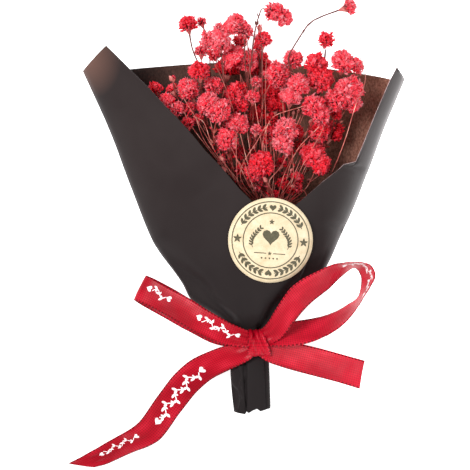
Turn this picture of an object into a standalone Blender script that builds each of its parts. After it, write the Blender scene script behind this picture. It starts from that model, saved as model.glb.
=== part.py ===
"""A small bouquet of red dried gypsophila in a black paper cone, tied with a satin bow.

The bouquet lies on its back: +Z is up, +Y runs from the tied handle to the flowers, and +X is to
the right as it is looked down on. The origin is on the resting plane, in the middle of the flat
back of the cone and level with the middle of the round sticker. Places and sizes are in
millimetres, and are scaled to metres where the meshes are made.
"""

import math
import random

import bmesh
import bpy
import numpy as np
from mathutils import Matrix, Vector

MM = 0.001
GAP = 0.3                # clearance between pieces that touch
WELD = 0.00001           # metres within which points are merged
TINY = 1e-9              # keeps a division by a length or area away from zero
BOUQUET = "bouquet"

# The paper cone
PAPER = 0.7              # wall of the paper
LAYER = 0.7              # each flap's offset where the two overlap
LAYER_SPREAD = 0.5       # share of the half width over which a flap rises to that offset
BACK_FLAT = 0.7          # share of the back's half width that is flat
CROWN_BOW = 2.4          # how flat the crown of the front is: 2 would be round
CROWN_SHOULDER = 0.7     # how steeply the front falls to the side folds
SIDE_FADE = 0.1          # share of the half width over which pleats fade at the side folds
SPLIT = -20.0            # y below which every column of the sheet has the same rows
ROWS_BELOW = (-65.0, -58.0, -52.0, -48.0, -44.0, -40.0, -36.5, -33.0, -29.0, -25.0)
ROWS_ABOVE = 8

# Heights along the cone, as (y, value): outline left and right, crown of the front, height of
# the side folds, lift of the underside, and the pleats that gather the front into the neck
LEFT_SIDE = ((-71.7, -6.6), (-60, -7.8), (-50.6, -8.2), (-43, -7.1), (-38, -8.0), (-32.5, -13.3),
             (-24.6, -24.8), (-18.3, -28.1), (-4, -38.4), (0, -40.8), (22, -49.6), (45.4, -58.3),
             (70.4, -69.6), (80, -74.0))
RIGHT_SIDE = ((-71.7, 8.6), (-60, 8.3), (-50.6, 7.9), (-43, 7.1), (-38, 7.8), (-32.5, 13.0),
              (-20.8, 25.8), (-9.4, 32.9), (0, 37.1), (16.3, 44.2), (32.9, 50.8), (47.9, 56.3),
              (67.1, 64.4), (80, 70.0))
CROWN = ((-71.7, 11.4), (-55, 11.6), (-43, 10.4), (-37.5, 11.2), (-33.5, 15.6), (-29, 20.4), (-20.8, 24),
         (0, 30), (68.8, 42), (80, 44))
FOLD_HEIGHT = ((-71.7, 5.4), (-43, 5.0), (-30, 7), (0, 10), (68.8, 16), (80, 17))
LIFT = ((-71.7, 0.4), (-56, 0.6), (-49, 1.6), (-37, 1.6), (-29, 0), (80, 0))
PLEAT_PLACE = ((-43, 0.5), (-30, 0.55), (-20.8, 0.68), (-9, 0.88), (10, 0.95))
PLEAT_DEPTH = ((-52, 0), (-43, 1.0), (-36, 3.0), (-28, 4.6), (-20, 4.2), (-10, 2.2), (2, 0))
PLEAT_WIDTH = 0.11       # as a share of the half width
GROOVE_DEPTH = ((-72, 0.9), (-56, 0.9), (-50, 0))
GROOVE_PLACE = -0.32     # share of the handle's half width at which its groove runs
GROOVE_WIDTH = 0.07

# Where the sheet ends below, as (share of the half width, y)
HANDLE_EDGE = ((-1, -71.7), (-0.55, -72.8), (-0.19, -72.1), (0.26, -70.8), (0.6, -71.7), (1, -70.4))

# Where the sheet ends above, as (share of the half width, y)
LEFT_FLAP = ((-1, 70.4), (-0.795, 80), (-0.705, 70.4), (-0.55, 55.4), (-0.32, 36.7), (-0.057, 20.8),
             (0.26, 6.7), (0.725, -10))
RIGHT_FLAP = ((-0.1, -5), (0.26, 6.7), (0.504, 16.7), (0.637, 23.8), (0.793, 31.3), (0.87, 32.6),
              (0.882, 40), (0.895, 53.3), (0.905, 66), (0.918, 71.6), (1, 67.1))
BACK_PANEL = ((-1, 70.4), (-0.71, 70.4), (-0.235, 74), (-0.06, 75), (0.17, 74.1), (0.755, 67.3),
              (1, 67.1))
LEFT_COLUMNS = (0.725, 0.6, 0.5, 0.38, 0.26, 0.1, -0.057, -0.19, -0.32, -0.43, -0.55, -0.66, -0.795,
                -0.88, -0.95, -0.985)
RIGHT_COLUMNS = (0.985, 0.95, 0.918, 0.905, 0.895, 0.882, 0.87, 0.793, 0.72, 0.637, 0.504, 0.38, 0.26,
                 0.1, -0.1)
BACK_COLUMNS = (-0.5, -0.235, -0.06, 0.17, 0.4, 0.6)
FOLD_TURNS = (90, 60, 30, 0)

# The sticker
STICKER_RADIUS = 17.5
STICKER_THICKNESS = 0.5
STICKER_MIDDLE = (8.4, -0.1)
STICKER_RINGS = 4
STICKER_LIFT = 0.5       # clearance over the crown, whose facets are not the sticker's
STICKER_SIDES = 32

# The satin ribbon. A station of a strip gives the places of its two edges, x, y, z and x, y, z.
RIBBON = 0.6
BAND_EDGES = (-46.5, -43.0, -39.5)         # y of the band's lower edge, middle and upper edge
BAND_FRONT = (0.9, 0.7, 0.5, 0.3, 0.1, -0.1, -0.3, -0.5, -0.7, -0.9)     # shares of the half width
BAND_BACK = (-1, -0.93, -0.8, -0.5, 0, 0.5, 0.8, 0.93, 1)
BAND_LIFT = 0.5          # clearance of the band over the facets of the paper
BAND_RISE = 1.3          # how much more the height counts where the band stands off the paper
KNOT_HALF = (5.3, 5.8, 3.2)
KNOT_MIDDLE = (3.4, -42.8, 15.4)
KNOT_ROUND = 0.7         # 1 is an ellipsoid, and less comes nearer to a block
KNOT_SIDES = 14
KNOT_RINGS = 8
LEFT_LOOP = ((1.0, -38.5, 15.4, -0.5, -45.0, 15.0), (-7, -35.2, 16.9, -10.5, -44.2, 14.6),
             (-16.7, -29.8, 16.4, -21.3, -40.4, 14.4), (-24.6, -24.8, 14.8, -30, -35.8, 12.6),
             (-34.2, -19.8, 11.2, -39.6, -30.8, 9.8), (-41.4, -15.8, 8.8, -46.6, -26.6, 7.6),
             (-43.6, -14.8, 6.6, -48.9, -25.4, 5.4), (-41.2, -15.8, 4.4, -46.4, -26.6, 3.4),
             (-31.5, -20.8, 6.8, -36.4, -32.0, 5.2), (-21.6, -26.8, 13.2, -25.2, -38.2, 9.4),
             (-9, -35.0, 15.2, -12.4, -43.9, 12.6), (1.0, -38.8, 14.6, -0.5, -45.2, 13.6))
RIGHT_LOOP = ((3.5, -38.2, 15.4, 4.6, -45.4, 14.8), (7.2, -34.4, 18.6, 12.4, -41.6, 14.6),
              (11.4, -27.4, 22.8, 17.8, -34.6, 16.4), (17.2, -19.2, 25.4, 23.8, -27.6, 18.4),
              (27.2, -13.0, 25.0, 32.2, -20.6, 16.6), (35.6, -9.4, 23.4, 38.6, -15.0, 13.4),
              (43.0, -8.6, 22.2, 43.6, -11.4, 10.8), (49.6, -9.8, 20.6, 46.0, -13.2, 9.8),
              (52.2, -14.5, 19.0, 47.0, -17.0, 8.6), (50.6, -19.6, 17.2, 46.4, -21.4, 6.2),
              (47.6, -24.6, 15.6, 44.6, -24.6, 4.2), (43.8, -30.2, 14.2, 40.6, -27.8, 3.4),
              (38.8, -35.6, 13.4, 35.6, -30.6, 3.4), (31.6, -40.6, 13.2, 29.6, -32.6, 4.6),
              (22.6, -43.6, 13.6, 20.6, -33.8, 7.0), (13.2, -44.6, 14.8, 13.4, -34.8, 11.0),
              (3.4, -44.4, 15.2, 4.0, -39.4, 14.0))
RIGHT_TAIL = ((3.0, -39.6, 15.0, 1.6, -46.6, 14.8), (9.6, -41.0, 14.2, 7.0, -50.6, 14.4),
              (16.7, -42.4, 11.6, 14.2, -53.4, 11.4), (29.2, -45.4, 6.8, 26.3, -56.9, 6.6),
              (39.6, -48.3, 3.0, 36.7, -59.8, 2.8), (48.4, -50.8, 0.9, 46.3, -62.8, 0.9))
LEFT_TAIL = ((1.4, -39.4, 15.2, 4.4, -45.4, 14.8), (-5.2, -42.6, 14.8, 0.0, -49.8, 14.6),
             (-14.6, -45.6, 12.8, -8.2, -54.2, 10.8), (-24.0, -49.8, 9.0, -15.4, -58.0, 7.6),
             (-31.4, -56.0, 6.2, -22.0, -63.6, 5.2), (-39.0, -65.8, 4.2, -29.2, -72.6, 3.4),
             (-47.4, -77.2, 3.6, -38.8, -84.8, 1.6), (-56.0, -82.8, 6.8, -49.6, -89.9, 0.9),
             (-63.6, -87.2, 5.4, -57.8, -93.6, 0.9), (-71.2, -91.4, 2.0, -62.4, -95.0, 0.9),
             (-76.6, -94.2, 0.9, -65.6, -95.8, 0.9))
STRIP_STEP = 3.8         # spacing of the cross-sections along a strip

# The stems
STEM = 0.55              # radius of a spray's main stem
BRANCH = 0.45
PEDICEL = 0.38           # radius of the stalk under a bloom
STEM_END = -68.0         # y of the cut ends, inside the handle
END_DROP = 1.0           # how far the cut ends lie below the stems in the neck
NECK = -43.0
NECK_RUN = (-7.0, 5.0)   # the stretch on both sides of the neck in which stems are straight
SLOT = 1.75              # spacing of the main stems in the neck
SLOT_COLUMNS = 4
SLOT_FLOOR = 3.35        # height of the lower row of stems in the neck
ROW_SHIFT = 0.4          # how far the upper row lies to the side
ROOT_SHARE = 0.42        # where the first fork may lie between the neck and the blooms
FORK_PULL = 0.3          # how far below its branches a fork lies, as a share of the way to the root
STALK_SHARE = 0.18       # length of a bloom's own stalk, as a share of the way to the root
STALK_DEPTH = 0.9        # height of a bent stalk, as a share of its bloom's
STEM_STEP = 7.0          # longest stretch between two points of a stem
ROOT_SINK = 0.8          # how far a branch is sunk in the stem that it grows from

# How the stems bend clear
BENDS = 400
BEND_SHARE = 0.6         # share of each move that is made
STRAIGHTEN = 0.06
STEM_ROOM = 0.62         # clearance that the stems bend to keep
TIP_ROOM = 0.1           # further clearance between a stalk and its bloom
PAPER_ROOM = 0.3         # further clearance between the stems and the paper

# The florets: x, y, radius, share of the cone's depth, spray and tint, as looked down on
BLOOMS = (
    (41, 96.5, 3.6, 0.75, 7, "light"), (10.5, 94, 3.9, 0.85, 4, "light"),
    (31.5, 83.5, 3.6, 0.6, 8, "red"), (-25.5, 90, 3.9, 0.55, 3, "red"), (-20.5, 91, 2.4, 0.45, 3, "red"),
    (-6, 89, 4.4, 0.7, 4, "light"), (-12, 87, 3.8, 0.5, 3, "light"),
    (-11.5, 81.5, 4.6, 0.75, 3, "light"), (-20.5, 79, 3.2, 0.45, 2, "light"),
    (5, 83.5, 3.8, 0.6, 4, "red"), (4, 88.5, 1.4, 0.5, 4, "deep"), (-7, 76.5, 5.0, 0.65, 4, "light"),
    (-9.5, 72.5, 5.2, 0.3, 3, "deep"), (3.5, 74.5, 4.2, 0.45, 4, "red"),
    (-21.5, 69.5, 4.6, 0.75, 2, "red"), (-25.5, 63, 4.9, 0.7, 2, "light"),
    (-15.5, 64, 4.2, 0.65, 5, "light"), (-32, 67, 1.4, 0.5, 1, "red"), (-32.5, 63.5, 2.8, 0.5, 1, "red"),
    (-39, 63, 3.3, 0.55, 1, "red"), (-34, 57.5, 4.2, 0.65, 1, "light"),
    (-26.5, 49.5, 3.1, 0.7, 1, "red"), (-16, 57, 4.8, 0.8, 5, "light"), (-6, 62, 4.4, 0.55, 5, "red"),
    (2.5, 66, 2.9, 0.6, 6, "light"), (1, 59.5, 3.1, 0.75, 6, "light"), (12, 69.5, 4.8, 0.65, 7, "light"),
    (9, 62, 5.2, 0.35, 6, "deep"), (20, 64, 4.4, 0.75, 7, "light"), (18.5, 75, 4.2, 0.55, 7, "light"),
    (27.5, 73.5, 4.4, 0.6, 8, "red"), (38, 73, 4.8, 0.7, 8, "light"),
    (39.5, 63.5, 5.4, 0.85, 8, "light"), (44.5, 62.5, 3.2, 0.5, 8, "red"),
    (26, 56.5, 4.4, 0.75, 7, "light"), (27, 46.5, 4.6, 0.6, 8, "red"), (-3.5, 48, 4.4, 0.75, 5, "light"),
    (1, 46.5, 2.7, 0.7, 6, "light"), (7, 45, 4.2, 0.65, 6, "red"), (15, 46.5, 4.6, 0.9, 6, "light"),
    (21.5, 45.5, 3.8, 0.55, 7, "red"), (25.5, 35.5, 4.8, 0.8, 8, "red"), (5, 32.5, 4.8, 0.85, 5, "red"),
    (13, 32.5, 2.7, 0.5, 6, "deep"), (-11.5, 33.5, 2.1, 0.6, 1, "light"), (19.5, 26, 2.8, 0.6, 7, "red"),
    (11, 19, 2.1, 0.6, 6, "red"), (3.5, 23, 3.2, 0.55, 5, "light"), (34, 45.5, 4.8, 0.4, 8, "deep"))
# Second and third florets, which are fused to a bloom: its number, x, y, radius and rise over it
TWINS = (
    (2, 14.5, 91.5, 3.6, -1), (6, -2, 86.5, 3.6, -1), (8, -16.5, 82, 3.4, -1), (12, -1.5, 76, 4.4, -1),
    (14, 3, 70.5, 3.6, 0), (21, -30, 55.5, 3.4, 1), (23, -12, 54, 4.6, 1), (24, -4.5, 56.5, 3.6, 1),
    (27, 14, 66, 3.4, -1.5), (28, 10.5, 57, 4.2, 1), (29, 16.5, 59, 4.2, 0), (31, 29.5, 67.5, 5.0, 0),
    (32, 43.5, 71.5, 3.4, -1), (33, 34, 59.5, 4.6, -1), (33, 41.5, 58, 3.8, -2), (35, 29, 52.5, 3.8, -1),
    (37, -7.5, 42, 4.6, 0), (40, 14, 40.5, 4.2, 0), (42, 29, 31, 4.2, 0), (43, 1.5, 28.5, 3.8, -1),
    (46, 20, 22.3, 2.4, 0))
BENT_STALKS = {1: ((15, 75), (25, 91)), 2: ((1, 80), (2.4, 88.5), (4.6, 95.5)), 3: ((31, 73),)}
PETAL_COLOURS = {"red": (0.62, 0.02, 0.05), "light": (0.72, 0.09, 0.15), "deep": (0.36, 0.006, 0.014)}
PETALS = (10, 6)         # columns and rows of petals and valleys on a floret
SMALL_PETALS = (8, 6)
SMALL_BLOOM = 3.0        # radius under which a floret has fewer petals
TIP_REACH = 1.1          # how far the petal tips stand out, as a share of the radius given above
BLOOM_BASE = 0.95        # how far a floret's flat base lies below its middle, as a share of its radius
PETAL_TIPS = (0.9, 1.0)
PETAL_VALLEYS = (0.66, 0.74)
SHOULDER = 0.5           # how far the floret's lower petals stand out at least,
SHOULDER_SHARE = 0.4     # and the share of their own reach on top of that
BASE_REACH = 0.8         # width of the flat base

# How the florets settle
SETTLE_MOVES = 300
SETTLE_SHARE = 0.3       # share of each move that is made
SIDE_SHARE = 0.25        # how much less they move sideways than in depth
BLOOM_GAP = 0.45
NUDGE = 0.001            # parts two florets that lie right over each other
EDGE_SHARE = 0.97        # share of the half width that a floret's depth is read within


def curve(stations):
    """A smooth function through (place, value) stations that never overshoots them."""
    xs = np.array([place for place, _ in stations], float)
    ys = np.array([value for _, value in stations], float)
    steps = np.diff(xs)
    slopes = np.diff(ys) / steps
    tangents = np.zeros(len(xs))
    tangents[0] = slopes[0]
    tangents[-1] = slopes[-1]
    for i in range(1, len(xs) - 1):
        if slopes[i - 1] * slopes[i] > 0:
            tangents[i] = 2 * slopes[i - 1] * slopes[i] / (slopes[i - 1] + slopes[i])

    def value(x):
        i = int(np.clip(np.searchsorted(xs, x) - 1, 0, len(steps) - 1))
        t = float(np.clip((x - xs[i]) / steps[i], 0, 1))
        return float((1 + 2 * t) * (1 - t) ** 2 * ys[i] + t * (1 - t) ** 2 * steps[i] * tangents[i]
                     + t * t * (3 - 2 * t) * ys[i + 1] + t * t * (t - 1) * steps[i] * tangents[i + 1])

    return value


def ease(t):
    """Goes smoothly from 0 to 1 as t does."""
    t = min(max(t, 0.0), 1.0)
    return t * t * (3 - 2 * t)


left_side = curve(LEFT_SIDE)
right_side = curve(RIGHT_SIDE)
crown = curve(CROWN)
fold_height = curve(FOLD_HEIGHT)
lift = curve(LIFT)
pleat_place = curve(PLEAT_PLACE)
pleat_depth = curve(PLEAT_DEPTH)
groove_depth = curve(GROOVE_DEPTH)


def bell(x, middle, width):
    """A soft bell of height 1 round a middle."""
    return math.exp(-((x - middle) / width) ** 2)


def crown_height(share, y):
    """Height of the front of the cone without its pleats, at a share of the half width."""
    base = lift(y) + PAPER / 2 + fold_height(y)
    return base + (crown(y) - base) * max(0.0, 1 - abs(share) ** CROWN_BOW) ** CROWN_SHOULDER


def front_height(share, y):
    """Height of the front of the cone before its flaps part, with its pleats and the groove."""
    pleat = pleat_depth(y) * bell(abs(share), pleat_place(y), PLEAT_WIDTH)
    pleat *= min(1.0, (1 - abs(share)) / SIDE_FADE)
    groove = groove_depth(y) * bell(share, GROOVE_PLACE, GROOVE_WIDTH)
    return crown_height(share, y) - pleat - groove


def cone_point(place, share, y):
    """A point of the middle of the paper on the left flap, the right flap or the back."""
    middle = (left_side(y) + right_side(y)) / 2
    x = middle + share * (right_side(y) - left_side(y)) / 2
    if place == "back":
        bend = max(0.0, (abs(share) - BACK_FLAT) / (1 - BACK_FLAT))
        z = lift(y) + PAPER / 2 + fold_height(y) * (1 - math.sqrt(max(0.0, 1 - bend ** 2)))
    elif place == "left":
        z = front_height(share, y) + LAYER * ease((1 + share) / LAYER_SPREAD)
    else:
        z = front_height(share, y) - LAYER * ease((1 - share) / LAYER_SPREAD)
    return x, y, z


def share_of(x, y):
    """The share of the half width at which x lies."""
    return (2 * x - left_side(y) - right_side(y)) / (right_side(y) - left_side(y))


def material(name, colour, roughness):
    """A Principled material with one colour."""
    made = bpy.data.materials.new(name)
    made.use_nodes = True
    shader = made.node_tree.nodes["Principled BSDF"]
    shader.inputs["Base Color"].default_value = (*colour, 1)
    shader.inputs["Roughness"].default_value = roughness
    return made


def add_object(name, mesh, finish, parts):
    """Links a mesh as a named object with one material."""
    mesh.name = name
    mesh.materials.clear()
    mesh.materials.append(finish)
    made = bpy.data.objects.new(name, mesh)
    parts.objects.link(made)
    return made


def sheet_mesh(rows):
    """An open grid of quads through rows of points given in millimetres."""
    bm = bmesh.new()
    grid = [[bm.verts.new(Vector(point) * MM) for point in row] for row in rows]
    for lower, upper in zip(grid, grid[1:]):
        for a, b, c, d in zip(lower, lower[1:], upper[1:], upper):
            bm.faces.new((a, b, c, d))
    mesh = bpy.data.meshes.new("sheet")
    bm.to_mesh(mesh)
    bm.free()
    return mesh


def thicken(made, thickness):
    """Gives an open sheet its thickness, half to each side."""
    solid = made.modifiers.new("Thickness", "SOLIDIFY")
    solid.thickness = thickness * MM
    solid.offset = 0
    solid.use_even_offset = False


def sheet_columns():
    """The columns of the sheet, from the left flap's free edge round the back to the right's."""
    fold = [BACK_FLAT + (1 - BACK_FLAT) * math.sin(math.radians(turn)) for turn in FOLD_TURNS]
    columns = [("left", share, LEFT_FLAP) for share in LEFT_COLUMNS]
    columns += [("back", -share, BACK_PANEL) for share in fold]
    columns += [("back", share, BACK_PANEL) for share in BACK_COLUMNS]
    columns += [("back", share, BACK_PANEL) for share in reversed(fold)]
    columns += [("right", share, RIGHT_FLAP) for share in RIGHT_COLUMNS]
    return columns


def make_wrap(finish, parts):
    """The rolled sheet of paper: back, two side folds and two flaps that cross in front."""
    rows = []
    for place, share, edge in sheet_columns():
        top = float(np.interp(share, *zip(*edge)))
        heights = [float(np.interp(share, *zip(*HANDLE_EDGE))), *ROWS_BELOW]
        heights += [SPLIT + (top - SPLIT) * i / ROWS_ABOVE for i in range(ROWS_ABOVE + 1)]
        rows.append([cone_point(place, share, y) for y in heights])
    wrap = add_object("wrap", sheet_mesh(rows), finish, parts)
    thicken(wrap, PAPER)
    wrap.data.shade_smooth()


def middle_face(bm):
    """The face nearest to the origin."""
    return min(bm.faces, key=lambda face: face.calc_center_median().length)


def make_sticker(finish, parts):
    """The round label, which follows the crown of the cone across the edge of the left flap."""
    bm = bmesh.new()
    bmesh.ops.create_circle(bm, cap_ends=True, radius=STICKER_RADIUS, segments=STICKER_SIDES)
    for _ in range(STICKER_RINGS - 1):
        bmesh.ops.inset_individual(bm, faces=[middle_face(bm)], thickness=STICKER_RADIUS / STICKER_RINGS)
    bmesh.ops.poke(bm, faces=[middle_face(bm)])
    over_crown = LAYER + (PAPER + STICKER_THICKNESS) / 2 + STICKER_LIFT
    for vert in bm.verts:
        x = vert.co.x + STICKER_MIDDLE[0]
        y = vert.co.y + STICKER_MIDDLE[1]
        vert.co = Vector((x, y, crown_height(share_of(x, y), y) + over_crown)) * MM
    mesh = bpy.data.meshes.new("sticker")
    bm.to_mesh(mesh)
    bm.free()
    thicken(add_object("sticker", mesh, finish, parts), STICKER_THICKNESS)


def strip_rows(stations):
    """Cross-sections of a strip, spaced evenly along smooth curves through its stations."""
    edges = [curve([(i, station[k]) for i, station in enumerate(stations)]) for k in range(6)]
    middles = [Vector(station[:3]).lerp(Vector(station[3:]), 0.5) for station in stations]
    rows = []
    for i, (a, b) in enumerate(zip(middles, middles[1:])):
        cuts = max(1, round((b - a).length / STRIP_STEP))
        rows += [[edge(i + j / cuts) for edge in edges] for j in range(cuts)]
    rows.append([edge(len(stations) - 1) for edge in edges])
    return [[row[:3], row[3:]] for row in rows]


def band_rows():
    """Cross-sections of the band, a closed turn that clears the neck of the paper."""
    around = [("left", share) for share in BAND_FRONT] + [("back", share) for share in BAND_BACK]
    stand_off = PAPER / 2 + BAND_LIFT + RIBBON / 2
    rows = []
    for place, share in around:
        row = []
        for y in BAND_EDGES:
            x, _, z = cone_point(place, share, y)
            middle_x = (left_side(y) + right_side(y)) / 2
            middle_z = lift(y) + PAPER / 2 + fold_height(y)
            if place == "left":
                z = crown_height(share, y) + LAYER * ease((1 - abs(share)) / LAYER_SPREAD)
            out = Vector((x - middle_x, (z - middle_z) * BAND_RISE)).normalized() * stand_off
            row.append((x + out.x, y, z + out.y))
        rows.append(row)
    return rows + rows[:1]


def solid_strip(name, rows, finish, parts):
    """A strip of ribbon as a solid object, with its thickness made real."""
    mesh = sheet_mesh(rows)
    bm = bmesh.new()
    bm.from_mesh(mesh)
    bmesh.ops.remove_doubles(bm, verts=bm.verts, dist=WELD)
    bmesh.ops.recalc_face_normals(bm, faces=bm.faces)
    bm.to_mesh(mesh)
    bm.free()
    strip = add_object(name, mesh, finish, parts)
    thicken(strip, RIBBON)
    return strip


def union(first, others, parts):
    """Joins objects to the first one with one Boolean on a collection, which is then removed."""
    joined = bpy.data.collections.new("joined")
    bpy.context.scene.collection.children.link(joined)
    for other in others:
        joined.objects.link(other)
        parts.objects.unlink(other)
    boolean = first.modifiers.new("Union", "BOOLEAN")
    boolean.operation = "UNION"
    boolean.operand_type = "COLLECTION"
    boolean.collection = joined
    boolean.solver = "MANIFOLD"
    seen = first.evaluated_get(bpy.context.evaluated_depsgraph_get())
    mesh = bpy.data.meshes.new_from_object(seen)
    finish = first.data.materials[0]
    first.modifiers.clear()
    first.data = mesh
    mesh.materials.clear()
    mesh.materials.append(finish)
    for other in others:
        bpy.data.objects.remove(other, do_unlink=True)
    bpy.data.collections.remove(joined)


def make_ribbon(finish, parts):
    """The bow: a band round the neck, the knot, two loops and two tails."""
    bm = bmesh.new()
    bmesh.ops.create_uvsphere(bm, u_segments=KNOT_SIDES, v_segments=KNOT_RINGS, radius=1)
    for vert in bm.verts:
        blocky = [math.copysign(abs(value) ** KNOT_ROUND, value) for value in vert.co]
        vert.co = Vector([value * half for value, half in zip(blocky, KNOT_HALF)])
    bmesh.ops.transform(bm, matrix=Matrix.Scale(MM, 4) @ Matrix.Translation(KNOT_MIDDLE), verts=bm.verts)
    mesh = bpy.data.meshes.new("ribbon")
    bm.to_mesh(mesh)
    bm.free()
    ribbon = add_object("ribbon", mesh, finish, parts)
    strips = [solid_strip("band", band_rows(), finish, parts)]
    for name, stations in (("left_loop", LEFT_LOOP), ("right_loop", RIGHT_LOOP), ("left_tail", LEFT_TAIL),
                           ("right_tail", RIGHT_TAIL)):
        strips.append(solid_strip(name, strip_rows(stations), finish, parts))
    union(ribbon, strips, parts)


def depth_range(x, y, radius):
    """The lowest and highest place for the middle of a ball between the back and the flaps."""
    low = lift(y) + PAPER + GAP + radius
    share = min(max(share_of(x, y), -EDGE_SHARE), EDGE_SHARE)
    high = front_height(share, y) - LAYER - PAPER / 2 - GAP - radius
    return low, max(low, high)


class Florets:
    """Every floret as a ball: the bloom that it belongs to, its place and its radius.

    The seat of a bloom is the floret that its stalk carries.
    """

    def __init__(self):
        self.blooms = np.array([*range(len(BLOOMS)), *(twin[0] - 1 for twin in TWINS)])
        self.radii = TIP_REACH * np.array([bloom[2] for bloom in BLOOMS] + [twin[3] for twin in TWINS])
        places = []
        for (x, y, _, depth, _, _), radius in zip(BLOOMS, self.radii):
            low, high = depth_range(x, y, radius)
            places.append([x, y, low + depth * (high - low)])
        for bloom, x, y, _, rise in TWINS:
            places.append([x, y, places[bloom - 1][2] + rise])
        self.places = np.array(places, float)
        self.seats = [self.seat_of(bloom) for bloom in range(len(BLOOMS))]

    def seat_of(self, bloom):
        """The floret of a bloom that is nearest to where its stalk comes from."""
        foot = BENT_STALKS.get(bloom + 1, ((0, NECK),))[-1]
        return min(np.nonzero(self.blooms == bloom)[0], key=lambda i: math.dist(self.places[i, :2], foot))

    def settle(self):
        """Nudges blooms that would touch apart, mostly in depth, each with the florets fused to it."""
        order = np.arange(len(self.blooms))
        nudges = NUDGE * np.sign(order[:, None] - order[None, :])
        room = self.radii[:, None] + self.radii[None, :] + BLOOM_GAP
        apart_nodes = self.blooms[:, None] != self.blooms[None, :]
        weights = np.array([SIDE_SHARE, SIDE_SHARE, 1.0])
        for _ in range(SETTLE_MOVES):
            apart = self.places[:, None] - self.places[None, :]
            apart[:, :, 2] += nudges
            far = np.maximum(np.linalg.norm(apart, axis=2), TINY)
            short = np.where(apart_nodes, np.clip(room - far, 0, None), 0)
            push = ((apart / far[:, :, None]) * short[:, :, None]).sum(axis=1) * weights
            moves = np.zeros((len(BLOOMS), 3))
            np.add.at(moves, self.blooms, SETTLE_SHARE * push)
            self.places += moves[self.blooms]
            self.places[:, 2] += self.back_inside()[self.blooms]

    def back_inside(self):
        """How far each bloom has to rise for its florets to lie between the back and the flaps."""
        rises = np.zeros(len(BLOOMS))
        for bloom, place, radius in zip(self.blooms, self.places, self.radii):
            low, high = depth_range(place[0], place[1], radius)
            rise = min(max(place[2], low), high) - place[2]
            if abs(rise) > abs(rises[bloom]):
                rises[bloom] = rise
        return rises


def slot_place(spray):
    """Where a spray's main stem passes the neck: two rows of four."""
    row, column = divmod(spray - 1, SLOT_COLUMNS)
    return (column - (SLOT_COLUMNS - 1) / 2) * SLOT + row * ROW_SHIFT, SLOT_FLOOR + row * SLOT


class Spray:
    """The stems of one spray as points, with the point that each one grows from."""

    def __init__(self, number):
        self.number = number
        self.points = []
        self.parents = []
        self.radii = []
        self.tips = {}
        self.held = []

    def add(self, place, parent, radius):
        """Adds a point that grows from another one."""
        self.points.append(np.array(place, float))
        self.parents.append(parent)
        self.radii.append(radius)
        return len(self.points) - 1

    def stretch(self, parent, place, radius):
        """Adds points in even steps from a parent to a new place."""
        start = self.points[parent]
        goal = np.array(place, float)
        cuts = max(1, math.ceil(np.linalg.norm(goal - start) / STEM_STEP))
        for i in range(1, cuts + 1):
            parent = self.add(start + (goal - start) * i / cuts, parent, radius)
        return parent

    def grow(self, parent, group, radius):
        """Adds a group of branches, and the stalks of their blooms, above a point."""
        here = self.stretch(parent, group["foot"], radius)
        if "branches" in group:
            for branch in group["branches"]:
                self.grow(here, branch, BRANCH if "branches" in branch else PEDICEL)
            return
        for place in group["stalk"]:
            self.held.append(here)
            here = self.stretch(here, place, PEDICEL)
            self.held.append(here)
        self.tips[group["bloom"]] = self.add(group["middle"], here, PEDICEL)


def plan_spray(number, florets):
    """Forks a spray's stem again and again, by joining the two nearest branches below them."""
    spray = Spray(number)
    places = florets.places[florets.seats]
    slot_x, slot_z = slot_place(number)
    own = [i for i, bloom in enumerate(BLOOMS) if bloom[4] == number]
    slot = np.array([slot_x, NECK, slot_z])
    root = slot + ROOT_SHARE * (places[own].mean(axis=0) - slot)
    groups = []
    for i in own:
        stalk = [np.array([x, y, places[i][2] * STALK_DEPTH]) for x, y in BENT_STALKS.get(i + 1, ())]
        foot = stalk[0] if stalk else places[i] + (root - places[i]) * STALK_SHARE
        groups.append({"foot": foot, "bloom": i, "middle": places[i], "stalk": stalk[1:]})
    while len(groups) > 1:
        _, i, j = min((np.linalg.norm(a["foot"] - b["foot"]), i, j) for i, a in enumerate(groups)
                      for j, b in enumerate(groups) if i < j)
        branches = (groups[i], groups[j])
        fork = (branches[0]["foot"] + branches[1]["foot"]) / 2
        groups = [group for k, group in enumerate(groups) if k not in (i, j)]
        groups.append({"foot": fork + FORK_PULL * (root - fork), "branches": branches})
    base = spray.add((slot_x, STEM_END, slot_z - END_DROP), -1, STEM)
    for run in NECK_RUN:
        base = spray.stretch(base, (slot_x, NECK + run, slot_z), STEM)
    spray.grow(base, groups[0], STEM)
    return spray


def nearest_on_segments(a, b, c, d):
    """Shares along segments a-b and c-d, broadcast, at which they come nearest to each other."""
    u, v, w = b - a, d - c, a - c
    uu = (u * u).sum(-1)
    uv = (u * v).sum(-1)
    vv = (v * v).sum(-1)
    uw = (u * w).sum(-1)
    vw = (v * w).sum(-1)
    s = np.clip((uv * vw - vv * uw) / np.maximum(uu * vv - uv * uv, TINY), 0, 1)
    t = np.clip((uv * s + vw) / np.maximum(vv, TINY), 0, 1)
    s = np.clip((uv * t - uw) / np.maximum(uu, TINY), 0, 1)
    return s, t


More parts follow.
